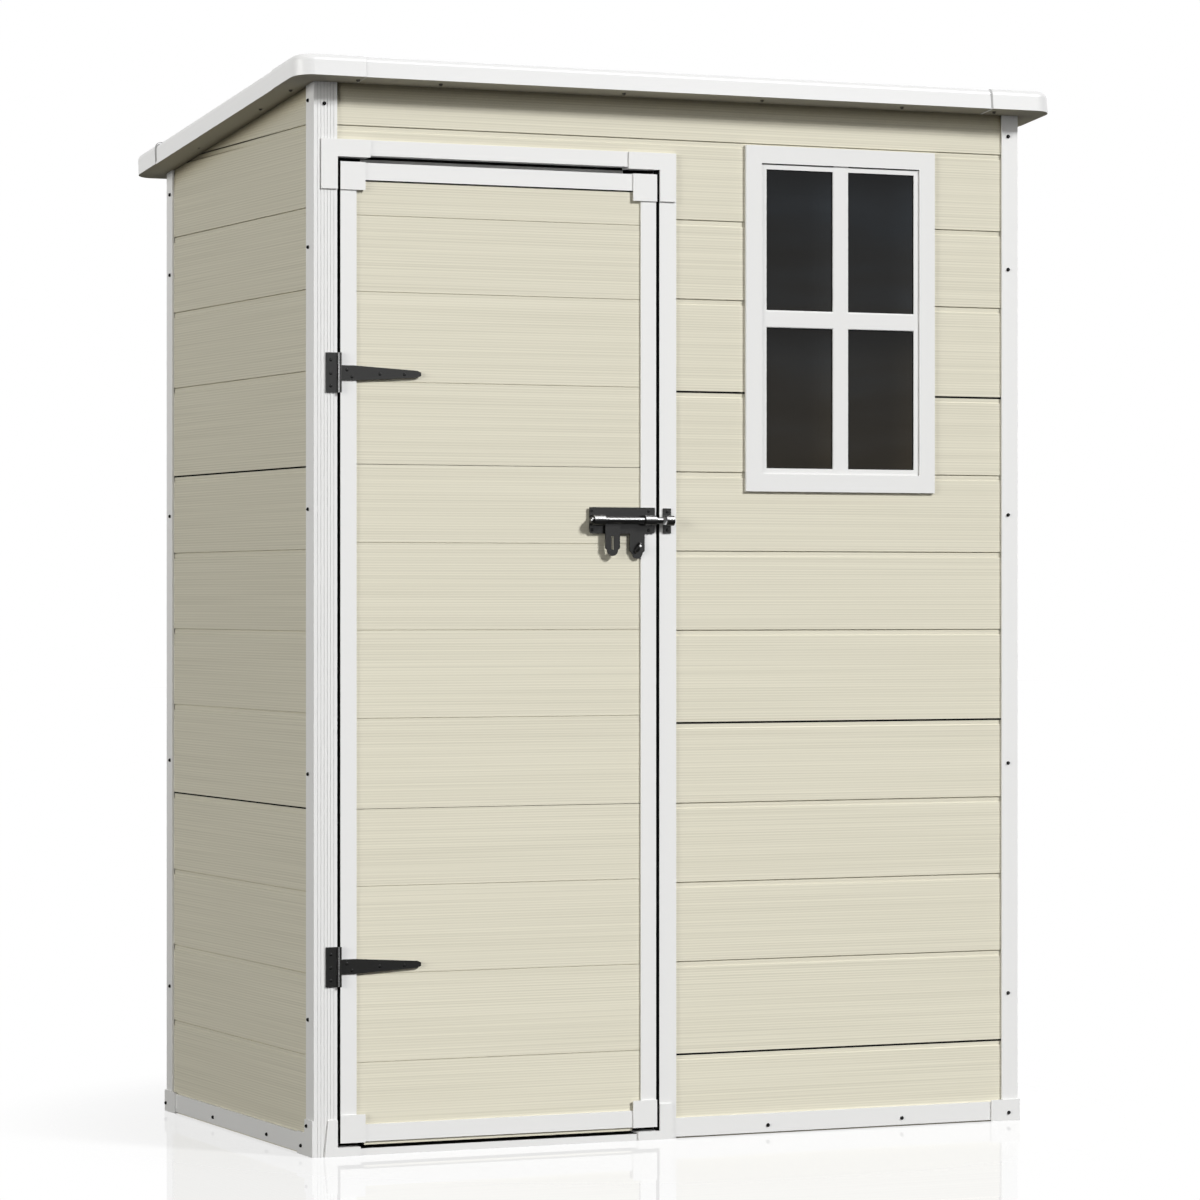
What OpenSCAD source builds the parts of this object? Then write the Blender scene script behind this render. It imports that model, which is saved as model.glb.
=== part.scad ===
// Lean-to resin garden shed: beige board walls, white trims, one outward door and one window.
// Lengths are in millimetres. X runs along the front, Y into the shed and Z up.
// The origin is on the ground, under the middle of the roof.

/* [Walls] */
// Width of the walls over the corner posts
wall_w = 1404; // [1250:1:1700]
// Depth of the walls over the corner posts
wall_d = 801; // [600:1:1100]
// Height of the roof's underside at the front wall
front_h = 1880; // [1850:1:2000]
// Fall of the roof's underside from the front wall to the back wall
roof_fall = 93; // [40:1:140]
// Thickness of the wall panels
panel_t = 20; // [16:1:30]
// Height of one whole wall panel
panel_h = 600; // [560:1:640]
// Height of the lowest panel joint in the front wall
front_joint_h = 153; // [120:1:200]
// Height of the lowest panel joint in the side and back walls
side_joint_h = 609.5; // [580:0.5:640]
// Height of a panel's first board, above the panel's lower edge
first_board_h = 167; // [150:1:180]
// Height of a panel's other boards
board_h = 143.5; // [120:0.5:148]
// Open joint between two wall panels
panel_gap = 3; // [2:0.5:8]
// Height of the groove between two boards
groove_h = 2; // [1:0.5:4]
// Depth of the groove between two boards
groove_d = 4; // [2:0.5:6]
// Height of the stepped edge along the top of a wall board
board_edge_h = 9; // [4:0.5:16]
// Depth of the stepped edge along the top of a wall board
board_edge_d = 1.4; // [0.5:0.1:2]
// Height of the tongue on a panel's upper edge
tongue_h = 8; // [4:1:14]

/* [Corner posts and trims] */
// Wall of the posts, rails and channels around the wall panels
trim_t = 4; // [3:0.5:6]
// Width of each leg of the corner posts
post_w = 33.4; // [28:0.1:45]
// Width of the door post on the front
door_post_w = 43.6; // [36:0.1:55]
// Depth of the door post on the side
door_post_d = 39.5; // [34:0.1:55]
// Depth of the groove in the door post that takes the side wall
post_groove_d = 10; // [6:1:14]
// Width of the door jamb's front flange
jamb_w = 33.3; // [26:0.1:45]
// Height of the base rails' upper edge
rail_top = 37; // [30:1:50]
// Height of the base rails' lower edge
rail_bottom = 3; // [0:1:8]
// Length of each leg of the base corner pieces
base_corner_l = 60; // [45:1:90]
// Height of the base corner pieces
base_corner_h = 40; // [38:1:60]
// Thickness of the corner and foot plates that lie over the trims
plate_t = 3; // [2:0.5:5]

/* [Doorway] */
// Clear width of the doorway
doorway_w = 621.3; // [560:0.1:640]
// Distance from the head rail's underside up to the roof
header_h = 126; // [100:1:180]
// Height of the head rail
head_h = 27; // [20:1:34]
// Height of the threshold
threshold_h = 12; // [8:1:18]
// Step of the corner plates past the head rail and the threshold
corner_step = 3.5; // [2:0.5:5]
// Length of the head corners along the head rail
head_corner_l = 61.5; // [50:0.5:90]
// Length of the head corners down the post and the jamb
head_corner_leg = 57; // [40:1:90]
// Length of the door feet along the threshold
foot_l = 43; // [30:1:80]
// Height of the door feet
foot_h = 64; // [50:1:100]

/* [Door] */
// Gap between the door and the door post
hinge_gap = 6.1; // [5.5:0.1:9]
// Gap between the door and the jamb
lock_gap = 6.7; // [6.1:0.1:10]
// Height of the door frame's lower edge
door_bottom = 24; // [22:1:32]
// Gap between the door frame and the head rail
head_gap = 13; // [12:1:40]
// Length of door board that hangs below the frame
door_drip = 3; // [0:0.5:3]
// Wall of the channels around the door's edge
door_trim_t = 3.5; // [2.5:0.5:5]
// Width of the door's stiles and rails
stile_w = 30; // [22:1:40]
// Width of the door's corner caps
cap_w = 46; // [42:1:60]
// Height of the door's corner caps
cap_h = 48; // [42:1:60]
// Height of the door cap's face over the stile
cap_step = 2.5; // [1:0.5:3]
// Wall of the door caps around the door's edge
cap_edge_t = 1; // [0.8:0.1:1]
// Height of the lowest panel joint in the door
door_joint_h = 607.7; // [580:0.1:640]
// Open joint between two door panels
door_gap = 1; // [0.5:0.5:4]
// Height of the groove between two boards in the door
door_groove_h = 1; // [0.6:0.1:3]
// Depth of the groove between two boards in the door
door_groove_d = 1.5; // [1:0.1:4]

/* [Window] */
// Width of the window over its frame
window_w = 389; // [340:1:440]
// Height of the window over its frame
window_h = 631; // [560:1:640]
// Distance from the jamb's outer edge to the window
window_x = 140; // [110:0.1:170]
// Distance from the window's upper edge up to the roof
window_drop = 77; // [60:1:120]
// Width of the window frame's face
window_face = 32; // [26:1:42]
// Thickness of the window frame's face
window_face_t = 6; // [4:0.5:9]
// Lap of the frame's face over the boards
window_lap = 22; // [12:1:24]
// Width of the sash around the glass
sash_w = 10.5; // [8:0.5:16]
// Depth of the sash
sash_d = 14; // [10:1:18]
// Width of the window bars
bar_w = 32; // [20:1:40]
// Thickness of the window bars in front of the glass
bar_t = 3; // [2:0.5:6]
// Thickness of the glass
glass_t = 3; // [2:0.5:6]

/* [Roof] */
// Overhang of the roof on every side
overhang = 50; // [30:1:90]
// Height of the roof's edge over the corner caps
roof_h = 39; // [34:1:60]
// Wall of the roof's edge trims
roof_trim_t = 3; // [2:0.5:5]
// Radius of the roof's upper edge
roof_edge_r = 12; // [8:1:16]
// Radius of the roof's corners in plan
roof_corner_r = 34; // [20:1:50]
// Step of the corner caps over the edge trims
roof_cap_step = 1.5; // [0.5:0.5:3]
// Length of the corner caps along each edge
roof_cap_l = 129; // [90:1:180]
// Width of the edge trims' upper flange
roof_flange_w = 32; // [24:1:50]
// Width of one board of the roof panel
roof_board_w = 150; // [100:1:200]

/* [Hinges] */
// Height of the lower hinge
lower_hinge_z = 332; // [250:1:500]
// Height of the upper hinge
upper_hinge_z = 1372; // [1200:1:1500]
// Height of the hinge plates on the post
hinge_h = 70; // [60:1:90]
// Width of the hinge plates on the post
hinge_plate_w = 20; // [16:1:22]
// Thickness of the hinge plates and straps
hinge_t = 2.5; // [2:0.5:3]
// Radius of the hinge knuckles
knuckle_r = 3.6; // [3.2:0.1:4]
// Radius of the hinge pins
pin_r = 1.8; // [1.4:0.1:2.2]
// Height of the straps at their root
strap_h = 26; // [20:1:32]
// Height of the straps at their tip
strap_tip_h = 12; // [8:1:16]
// Length of the straps from the hinge pin
strap_l = 154; // [120:1:200]

/* [Bolt] */
// Height of the bolt's axis
bolt_z = 1117; // [1000:1:1200]
// Length of the bolt's back plate
bolt_plate_l = 129; // [120:1:150]
// Height of the bolt's back plate
bolt_plate_h = 47; // [40:1:60]
// Thickness of the bolt's plates
bolt_plate_t = 2.5; // [2:0.5:4]
// Radius of the bolt's rod
rod_r = 6; // [4.5:0.1:7]
// Travel of the bolt's rod
bolt_travel = 24; // [22:1:26]
// Length of rod that stands past the keeper when the bolt is shot
rod_past = 3.6; // [2:0.1:5]
// Width of the keeper on the jamb
keeper_w = 15.4; // [12:0.1:18]
// Height of the keeper's plate
keeper_h = 45; // [40:1:60]
// Width of the hasp on the rod
hasp_w = 28.6; // [24:0.1:34]
// Length of the hasp below the rod's axis
hasp_l = 64; // [50:1:80]
// Distance that the hasp's face lies behind the rod's axis
hasp_in = 3; // [2:0.5:3.5]

/* [Hidden] */
$fn = 48;

BOARD = [0.86, 0.84, 0.76];
TRIM = [0.92, 0.92, 0.92];
ROOF = [0.94, 0.94, 0.94];
BLACK = [0.22, 0.22, 0.22];
STEEL = [0.75, 0.75, 0.75];

eps = 0.01;
// Reach of a cut past the face it goes through
cut = 1;
// Length past the whole shed, for cuts
beyond = 3000;
// Clearance around a tongue in its groove
tongue_c = 0.3;

slope = atan(roof_fall / wall_d);
wall_in = trim_t + panel_t;
jamb_x = door_post_w + doorway_w;
front_panel_x = jamb_x + trim_t;
channel_d = panel_t + 2 * trim_t;
tongue_y = [panel_t * 0.55, panel_t * 0.85];
head_z = front_h - header_h;
head_top = head_z + head_h;

// Moves from the walls' front left corner on the ground to the shed's own origin.
module from_corner() {
    translate([-wall_w / 2, -wall_d / 2, 0]) children();
}

// Keeps what lies under the roof's sloping underside.
module under_roof() {
    difference() {
        children();
        translate([-beyond / 2, 0, front_h])
            rotate([-slope, 0, 0])
                translate([0, -beyond / 2, 0]) cube([2 * beyond, 2 * beyond, beyond]);
    }
}

// ---- Board panels ----

// Joints that fall between a panel's lower and upper edge.
function inside(joints, low, high) = [
    for (z = joints) if (z > low + board_edge_h + groove_h + cut && z < high - cut) z
];

// Joint heights of one panel whose lower edge would be at z0.
function panel_joints(z0, low, high) =
    inside([for (k = [0:2]) z0 + first_board_h + k * board_h], low, high);

// Section points of a board's top, up to the height top: stepped back on the walls, plain on the door.
function board_top(top, stepped) = stepped ? [
    [0, top - board_edge_h], [board_edge_d, top - board_edge_h + board_edge_d], [board_edge_d, top]
] : [[0, top]];

// Section of a panel: x is the depth from the outer face, y the height.
function panel_section(low, high, joints, tongue, groove, gap, joint_groove, stepped) = concat(
    [[0, low]],
    [for (z = joints) each concat(
        board_top(z - joint_groove[0], stepped),
        [[joint_groove[1], z - joint_groove[0]], [joint_groove[1], z], [0, z]]
    )],
    tongue ? concat(
        board_top(high - gap, stepped),
        [
            [tongue_y[0], high - gap], [tongue_y[0], high + tongue_h],
            [tongue_y[1], high + tongue_h], [tongue_y[1], high], [panel_t, high]
        ]
    ) : [[0, high], [panel_t, high]],
    groove ? [
        [panel_t, low], [tongue_y[1] + tongue_c, low], [tongue_y[1] + tongue_c, low + tongue_h + tongue_c],
        [tongue_y[0] - tongue_c, low + tongue_h + tongue_c], [tongue_y[0] - tongue_c, low]
    ] : [[panel_t, low]]
);

function wall_section(low, high, joints, tongue, groove) =
    panel_section(low, high, joints, tongue, groove, panel_gap, [groove_h, groove_d], true);

// A panel with that section along X, its outer face at y = 0.
module panel_x(length, section) {
    rotate([90, 0, 90]) linear_extrude(length) polygon(section);
}

// A wall panel along Y whose outer face is at x = 0.
module panel_y(length, low, high, joints, tongue = true, groove = true) {
    translate([0, length, 0])
        rotate([90, 0, 0])
            linear_extrude(length) polygon(wall_section(low, high, joints, tongue, groove));
}

// ---- Front wall ----

front_panel_l = wall_w - trim_t - front_panel_x;
front_z = [for (k = [0:2]) front_joint_h + k * panel_h];
window_left = jamb_x + jamb_w + window_x;
window_z = front_h - window_drop - window_h;

module front_panel(low, high, first, tongue = true, groove = true) {
    color(BOARD)
        from_corner()
            translate([front_panel_x, trim_t, 0])
                panel_x(front_panel_l,
                    wall_section(low, high, panel_joints(first, low, high), tongue, groove));
}

// Cut through the front wall behind the window frame's face.
module window_hole() {
    from_corner()
        translate([window_left + window_lap, -cut, window_z + window_lap])
            cube([window_w - 2 * window_lap, wall_in + 2 * cut, window_h - 2 * window_lap]);
}

module front_wall_base() {
    front_panel(0, front_z[0], front_z[0] - panel_h, groove = false);
}

module front_wall_lower() {
    front_panel(front_z[0], front_z[1], front_z[0]);
}

module front_wall_middle() {
    difference() {
        front_panel(front_z[1], front_z[2], front_z[1]);
        window_hole();
    }
}

module front_wall_upper() {
    difference() {
        color(BOARD)
            from_corner()
                under_roof()
                    translate([front_panel_x, trim_t, 0])
                        panel_x(front_panel_l,
                            wall_section(front_z[2], front_h, panel_joints(front_z[2], front_z[2], front_h),
                                tongue = false, groove = true));
        window_hole();
    }
}

// The boards over the door, which sit on the head rail.
module front_wall_header() {
    color(BOARD)
        from_corner()
            under_roof()
                translate([door_post_w, trim_t, 0])
                    panel_x(front_panel_x - door_post_w,
                        wall_section(head_top, front_h, panel_joints(front_z[2], head_top, front_h),
                            tongue = false, groove = false));
}

// ---- Side and back walls ----

side_z = [0, side_joint_h, side_joint_h + panel_h];

module side_panel(front_y, low, high, first, tongue = true, groove = true) {
    color(BOARD)
        from_corner()
            under_roof()
                translate([trim_t, front_y, 0])
                    panel_y(wall_d - wall_in - front_y, low, high, panel_joints(first, low, high),
                        tongue, groove);
}

left_front_y = door_post_d - post_groove_d;

// The uppermost side panel reaches the roof and has one more joint near its top.
module side_top(front_y) {
    low = side_z[2];
    color(BOARD)
        from_corner()
            under_roof()
                translate([trim_t, front_y, 0])
                    panel_y(wall_d - wall_in - front_y, low, front_h,
                        concat(panel_joints(low, low, front_h), inside([low + panel_h], low, front_h)),
                        tongue = false);
}

module left_wall_lower() {
    side_panel(left_front_y, 0, side_z[1], side_z[1] - panel_h, groove = false);
}

module left_wall_middle() {
    side_panel(left_front_y, side_z[1], side_z[2], side_z[1]);
}

module left_wall_upper() {
    side_top(left_front_y);
}

module right_wall_lower() {
    mirror([1, 0, 0]) side_panel(wall_in, 0, side_z[1], side_z[1] - panel_h, groove = false);
}

module right_wall_middle() {
    mirror([1, 0, 0]) side_panel(wall_in, side_z[1], side_z[2], side_z[1]);
}

module right_wall_upper() {
    mirror([1, 0, 0]) side_top(wall_in);
}

module back_panel(low, high, first, tongue = true, groove = true) {
    color(BOARD)
        from_corner()
            under_roof()
                translate([trim_t, wall_d - trim_t, 0])
                    mirror([0, 1, 0])
                        panel_x(wall_w - 2 * trim_t,
                            wall_section(low, high, panel_joints(first, low, high), tongue, groove));
}

module back_wall_lower() {
    back_panel(0, side_z[1], side_z[1] - panel_h, groove = false);
}

module back_wall_middle() {
    back_panel(side_z[1], side_z[2], side_z[1]);
}

module back_wall_upper() {
    back_panel(side_z[2], front_h, side_z[2], tongue = false);
}

// ---- Posts, jamb and head ----

// Angle post with its outer corner at the origin and its legs along +X and +Y.
module angle_post() {
    linear_extrude(front_h)
        difference() {
            square(post_w);
            translate([trim_t, trim_t]) square(post_w);
        }
}

// Hollow door post with a groove for the side wall and low ribs on its front.
module door_post() {
    box_d = door_post_d - post_groove_d;
    rib_w = 3;
    rib_t = 0.6;
    color(TRIM)
        from_corner()
            under_roof()
                linear_extrude(front_h)
                    difference() {
                        square([door_post_w, door_post_d]);
                        translate([trim_t, trim_t]) square([door_post_w - 2 * trim_t, box_d - 2 * trim_t]);
                        translate([trim_t, box_d]) square([panel_t, door_post_d]);
                        translate([wall_in + trim_t, box_d]) square([door_post_w, door_post_d]);
                        for (x = [rib_w * 2:rib_w * 2:door_post_w - rib_w * 2])
                            translate([x, -eps]) square([rib_w / 2, rib_t + eps]);
                    }
}

module front_right_post() {
    color(TRIM)
        mirror([1, 0, 0]) from_corner() under_roof() angle_post();
}

module back_left_post() {
    color(TRIM)
        from_corner() under_roof() translate([0, wall_d, 0]) mirror([0, 1, 0]) angle_post();
}

module back_right_post() {
    mirror([1, 0, 0]) back_left_post();
}

// Channel around the front wall's edge beside the door.
module door_jamb() {
    color(TRIM)
        from_corner()
            translate([jamb_x, 0, 0])
                linear_extrude(head_top)
                    difference() {
                        square([jamb_w, channel_d]);
                        translate([trim_t, trim_t]) square([jamb_w, panel_t]);
                    }
}

module head_rail() {
    color(TRIM)
        from_corner()
            translate([door_post_w, 0, head_z])
                rotate([90, 0, 90])
                    linear_extrude(doorway_w)
                        difference() {
                            square([channel_d, head_h]);
                            translate([trim_t, trim_t])
                                square([channel_d - 2 * trim_t, head_h - 2 * trim_t]);
                        }
}

// Width of the door post that stays bare beside the head corner
post_bare_w = 12.9;

// Corner plate over the head rail's left end, with a lip under the rail.
module head_corner() {
    leg_w = door_post_w - post_bare_w;
    translate([door_post_w, 0, head_top])
        rotate([90, 0, 0])
            linear_extrude(plate_t) {
                translate([-leg_w, -head_h - corner_step])
                    square([leg_w + head_corner_l, head_h + corner_step]);
                translate([-leg_w, -head_h - corner_step - head_corner_leg])
                    square([leg_w, head_corner_leg + eps]);
            }
    translate([door_post_w, -eps, head_z - corner_step])
        cube([head_corner_l, channel_d, corner_step]);
}

module head_corners() {
    color(TRIM)
        from_corner() {
            head_corner();
            translate([door_post_w + jamb_x, 0, 0]) mirror([1, 0, 0]) head_corner();
        }
}

// ---- Threshold and base ----

module threshold() {
    color(TRIM)
        from_corner()
            translate([door_post_w, 0, 0]) cube([doorway_w, channel_d, threshold_h]);
}

// Widths of the door feet beside the doorway, at their top and on the ground
post_foot_w = [18, 24];
jamb_foot_w = [23, 27];

// Foot plate at the threshold's left end, with a lip over the threshold.
module door_foot(w) {
    translate([door_post_w, 0, 0])
        rotate([90, 0, 0])
            linear_extrude(plate_t)
                polygon([
                    [-w[1], 0], [foot_l, 0], [foot_l, threshold_h + corner_step],
                    [0, threshold_h + corner_step], [0, foot_h], [-w[0], foot_h]
                ]);
    translate([door_post_w, -eps, threshold_h])
        cube([foot_l, channel_d, corner_step]);
}

module door_feet() {
    color(TRIM)
        from_corner() {
            door_foot(post_foot_w);
            translate([door_post_w + jamb_x, 0, 0]) mirror([1, 0, 0]) door_foot(jamb_foot_w);
        }
}

rail_h = rail_top - rail_bottom;

module front_base_rail() {
    color(TRIM)
        from_corner()
            translate([jamb_x + jamb_w, 0, rail_bottom])
                cube([wall_w - post_w - jamb_x - jamb_w, trim_t, rail_h]);
}

module left_base_rail() {
    color(TRIM)
        from_corner()
            translate([0, door_post_d, rail_bottom])
                cube([trim_t, wall_d - post_w - door_post_d, rail_h]);
}

module right_base_rail() {
    color(TRIM)
        mirror([1, 0, 0])
            from_corner()
                translate([0, post_w, rail_bottom])
                    cube([trim_t, wall_d - 2 * post_w, rail_h]);
}

module back_base_rail() {
    color(TRIM)
        from_corner()
            translate([post_w, wall_d - trim_t, rail_bottom])
                cube([wall_w - 2 * post_w, trim_t, rail_h]);
}

// Angle piece around the foot of a post, outside the base rails.
module base_corner() {
    linear_extrude(base_corner_h)
        difference() {
            translate([-plate_t, -plate_t]) square(base_corner_l);
            square(base_corner_l);
        }
}

// Taller plate on the side of the door post, with its lower part over the rail's end.
module door_post_foot() {
    over_rail = 37;
    translate([-plate_t, 0, 0])
        cube([plate_t, door_post_d + over_rail, base_corner_h]);
    translate([-plate_t, 0, base_corner_h - eps])
        cube([plate_t, door_post_d, foot_h - base_corner_h + eps]);
}

module base_corners() {
    color(TRIM)
        from_corner() {
            door_post_foot();
            translate([wall_w, 0, 0]) mirror([1, 0, 0]) base_corner();
            translate([0, wall_d, 0]) mirror([0, 1, 0]) base_corner();
            translate([wall_w, wall_d, 0]) rotate([0, 0, 180]) base_corner();
        }
}

// ---- Window ----

// Places the window with its lower left outer corner at the origin, boards' face at y = 0.
module at_window() {
    from_corner() translate([window_left, trim_t, window_z]) children();
}

// Upright ring between two rectangles, from depth y0 to y1.
module ring(outer_in, inner_in, y0, y1) {
    difference() {
        translate([outer_in, y0, outer_in])
            cube([window_w - 2 * outer_in, y1 - y0, window_h - 2 * outer_in]);
        translate([inner_in, y0 - cut, inner_in])
            cube([window_w - 2 * inner_in, y1 - y0 + 2 * cut, window_h - 2 * inner_in]);
    }
}

module window_frame() {
    color(TRIM)
        at_window() {
            ring(0, window_face, -window_face_t, 0);
            ring(window_lap, window_face, -eps, panel_t + window_face_t);
        }
}

// Bar section: flat back, rounded front edges.
module bar_section() {
    r = 2;
    union() {
        translate([0, r]) square([bar_w, bar_t - r]);
        translate([r, 0]) square([bar_w - 2 * r, bar_t]);
        translate([r, r]) circle(r);
        translate([bar_w - r, r]) circle(r);
    }
}

// Sash and glass stand this far forward of the boards' face
sash_out = window_face_t / 2;
sash_inner = window_face + sash_w;
// Lap of the glass into the sash
glass_lap = 4;

// Ring with the bars across it, grooved for the glass behind the bars.
module window_sash() {
    opening_w = window_w - 2 * sash_inner;
    opening_h = window_h - 2 * sash_inner;
    color(TRIM)
        difference() {
            at_window()
                translate([0, -sash_out, 0]) {
                    ring(window_face, sash_inner, 0, sash_d);
                    translate([(window_w - bar_w) / 2, 0, sash_inner - cut])
                        linear_extrude(opening_h + 2 * cut) bar_section();
                    translate([sash_inner - cut, 0, (window_h + bar_w) / 2])
                        rotate([0, 90, 0]) linear_extrude(opening_w + 2 * cut) bar_section();
                }
            glass_plate();
        }
}

module glass_plate() {
    inset = sash_inner - glass_lap;
    at_window()
        translate([inset, bar_t - sash_out, inset])
            cube([window_w - 2 * inset, glass_t, window_h - 2 * inset]);
}

module window_glass() {
    color([0.2, 0.2, 0.2, 0.6]) glass_plate();
}

// ---- Roof ----

roof_w = wall_w + 2 * overhang;
// Length down the slope, so that the roof overhangs the front and back alike in plan
roof_l = (wall_d + 2 * overhang - roof_edge_r - (roof_h - roof_edge_r) * sin(slope)) / cos(slope)
    + roof_edge_r;
// Lap of the trims' underside flange past the wall's inner face
soffit_lap = 6;
soffit_w = overhang + wall_in + soffit_lap;
// Width of the corner caps' upper flange
cap_flange_w = roof_flange_w + 14;

// Puts flat roof pieces on the slope: z = 0 is the underside, y = 0 the front edge.
module on_slope() {
    from_corner()
        translate([-overhang, 0, front_h])
            rotate([-slope, 0, 0])
                translate([0, -overhang / cos(slope), 0]) children();
}

// Section of the roof's edge from its outer face to the end of the rounding.
// x is the distance inwards and y the height.
module edge_section(step) {
    r = roof_edge_r - step;
    top = roof_h - roof_edge_r;
    difference() {
        union() {
            translate([step, 0]) square([r, top]);
            intersection() {
                translate([roof_edge_r, top]) circle(r);
                translate([step, top - eps]) square([r, r + cut]);
            }
        }
        translate([step + roof_trim_t, roof_trim_t]) square([r, top - roof_trim_t]);
        translate([roof_edge_r, top]) circle(r - roof_trim_t);
    }
}

// Whole section of an edge trim: face, underside flange and upper flange.
module trim_section() {
    union() {
        edge_section(roof_cap_step);
        translate([roof_edge_r, 0]) square([soffit_w - roof_edge_r, roof_trim_t]);
        translate([roof_edge_r, roof_h - roof_cap_step - roof_trim_t])
            square([roof_flange_w - roof_edge_r, roof_trim_t]);
    }
}

// Edge trim along +X with its outer face at y = 0.
module roof_trim(length) {
    color(ROOF)
        rotate([90, 0, 90]) linear_extrude(length) trim_section();
}

module front_roof_trim() {
    on_slope() translate([roof_cap_l, 0, 0]) roof_trim(roof_w - 2 * roof_cap_l);
}

module back_roof_trim() {
    on_slope()
        translate([roof_w - roof_cap_l, roof_l, 0]) rotate([0, 0, 180]) roof_trim(roof_w - 2 * roof_cap_l);
}

module left_roof_trim() {
    on_slope()
        translate([0, roof_l - roof_cap_l, 0]) rotate([0, 0, -90]) roof_trim(roof_l - 2 * roof_cap_l);
}

module right_roof_trim() {
    on_slope()
        translate([roof_w, roof_cap_l, 0]) rotate([0, 0, 90]) roof_trim(roof_l - 2 * roof_cap_l);
}

// Plan of a roof corner with its rounded tip near the origin, set in by a margin.
module corner_plan(margin, length) {
    r = roof_corner_r - margin;
    union() {
        translate([margin, roof_corner_r]) square([length - margin, length - roof_corner_r]);
        translate([roof_corner_r, margin]) square([length - roof_corner_r, length - margin]);
        translate([roof_corner_r, roof_corner_r]) circle(r);
    }
}

// Corner cap with its tip at the origin and its legs along +X and +Y.
module roof_corner_cap() {
    leg = roof_cap_l - roof_corner_r;
    linear_extrude(roof_trim_t)
        difference() {
            corner_plan(roof_edge_r, roof_cap_l);
            translate([soffit_w, soffit_w]) square(roof_cap_l);
        }
    translate([0, 0, roof_h - roof_trim_t])
        linear_extrude(roof_trim_t)
            difference() {
                corner_plan(roof_edge_r, roof_cap_l);
                translate([cap_flange_w, cap_flange_w]) square(roof_cap_l);
            }
    translate([roof_corner_r, 0, 0])
        rotate([90, 0, 90]) linear_extrude(leg) edge_section(0);
    translate([0, roof_cap_l, 0])
        rotate([0, 0, -90]) rotate([90, 0, 90]) linear_extrude(leg) edge_section(0);
    translate([roof_corner_r, roof_corner_r, 0])
        rotate([0, 0, 180])
            rotate_extrude(angle = 90)
                translate([roof_corner_r, 0]) mirror([1, 0]) edge_section(0);
}

module roof_corner_caps() {
    color(ROOF)
        on_slope() {
            roof_corner_cap();
            translate([roof_w, 0, 0]) mirror([1, 0, 0]) roof_corner_cap();
            translate([0, roof_l, 0]) mirror([0, 1, 0]) roof_corner_cap();
            translate([roof_w, roof_l, 0]) rotate([0, 0, 180]) roof_corner_cap();
        }
}

// Board panel inside the trims, with grooves that run down the slope.
module roof_panel() {
    top = roof_h - roof_cap_step - roof_trim_t;
    boards = floor((roof_w - 2 * roof_flange_w) / roof_board_w);
    color(ROOF)
        on_slope()
            difference() {
                translate([roof_edge_r, roof_edge_r, roof_trim_t])
                    linear_extrude(top - roof_trim_t) panel_plan(roof_corner_r - roof_edge_r);
                for (k = [0:boards])
                    translate([roof_w / 2 + (k - boards / 2) * roof_board_w, roof_flange_w, top - groove_d])
                        cube([groove_h, roof_l - 2 * roof_flange_w, groove_d + cut]);
            }
}

// Plan of the roof panel, its corners rounded to lie inside the caps.
module panel_plan(r) {
    w = roof_w - 2 * roof_edge_r;
    l = roof_l - 2 * roof_edge_r;
    union() {
        translate([r, 0]) square([w - 2 * r, l]);
        translate([0, r]) square([w, l - 2 * r]);
        for (x = [r, w - r], y = [r, l - r]) translate([x, y]) circle(r);
    }
}

// ---- Door ----

door_x = door_post_w + hinge_gap;
door_w = doorway_w - hinge_gap - lock_gap;
door_t = panel_t + 2 * door_trim_t;
door_top = head_z - head_gap;

module at_door() {
    from_corner() translate([door_x, 0, 0]) children();
}

// Height that the door's middle panel has over a wall panel
door_panel_over = 5.3;
door_z = [door_bottom, door_joint_h, door_joint_h + panel_h + door_panel_over];
// Joint heights inside each door panel, above the panel's lower edge
door_joints = [[139, 294, 448], [159, 314, 468], [145, 303, 437]];

module door_panel(low, high, joints, tongue = true, groove = true) {
    color(BOARD)
        at_door()
            translate([door_trim_t, door_trim_t, 0])
                panel_x(door_w - 2 * door_trim_t,
                    panel_section(low, high, inside([for (z = joints) low + z], low, high), tongue, groove,
                        door_gap, [door_groove_h, door_groove_d], false));
}

// The lowest panel, with the lip of its front boards that hangs below the frame.
module door_panel_lower() {
    lip_t = panel_t / 4;
    door_panel(door_z[0], door_z[1], door_joints[0], groove = false);
    color(BOARD)
        at_door()
            translate([cap_w, door_trim_t, door_bottom - door_drip])
                cube([door_w - 2 * cap_w, lip_t, door_drip + eps]);
}

module door_panel_middle() {
    door_panel(door_z[1], door_z[2], door_joints[1]);
}

module door_panel_upper() {
    door_panel(door_z[2], door_top - door_trim_t, door_joints[2], tongue = false);
}

// Section of the channel around the door's edge, open towards +X.
module door_channel() {
    difference() {
        square([stile_w, door_t]);
        translate([door_trim_t, door_trim_t]) square([stile_w, panel_t]);
    }
}

module door_stile() {
    translate([0, 0, door_bottom])
        linear_extrude(door_top - door_bottom) door_channel();
}

module door_stiles() {
    color(TRIM)
        at_door() {
            door_stile();
            translate([door_w, 0, 0]) mirror([1, 0, 0]) door_stile();
        }
}

// Rail between the stiles, open towards +Z.
module door_rail() {
    translate([door_w - stile_w, 0, 0])
        rotate([0, -90, 0])
            linear_extrude(door_w - 2 * stile_w) door_channel();
}

// The top rail is a channel; the bottom rail is a strip on each side of the boards.
module door_rails() {
    color(TRIM)
        at_door() {
            translate([0, 0, door_top]) mirror([0, 0, 1]) door_rail();
            for (y = [0, door_t - door_trim_t])
                translate([stile_w, y, door_bottom])
                    cube([door_w - 2 * stile_w, door_trim_t, stile_w]);
        }
}

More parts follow.
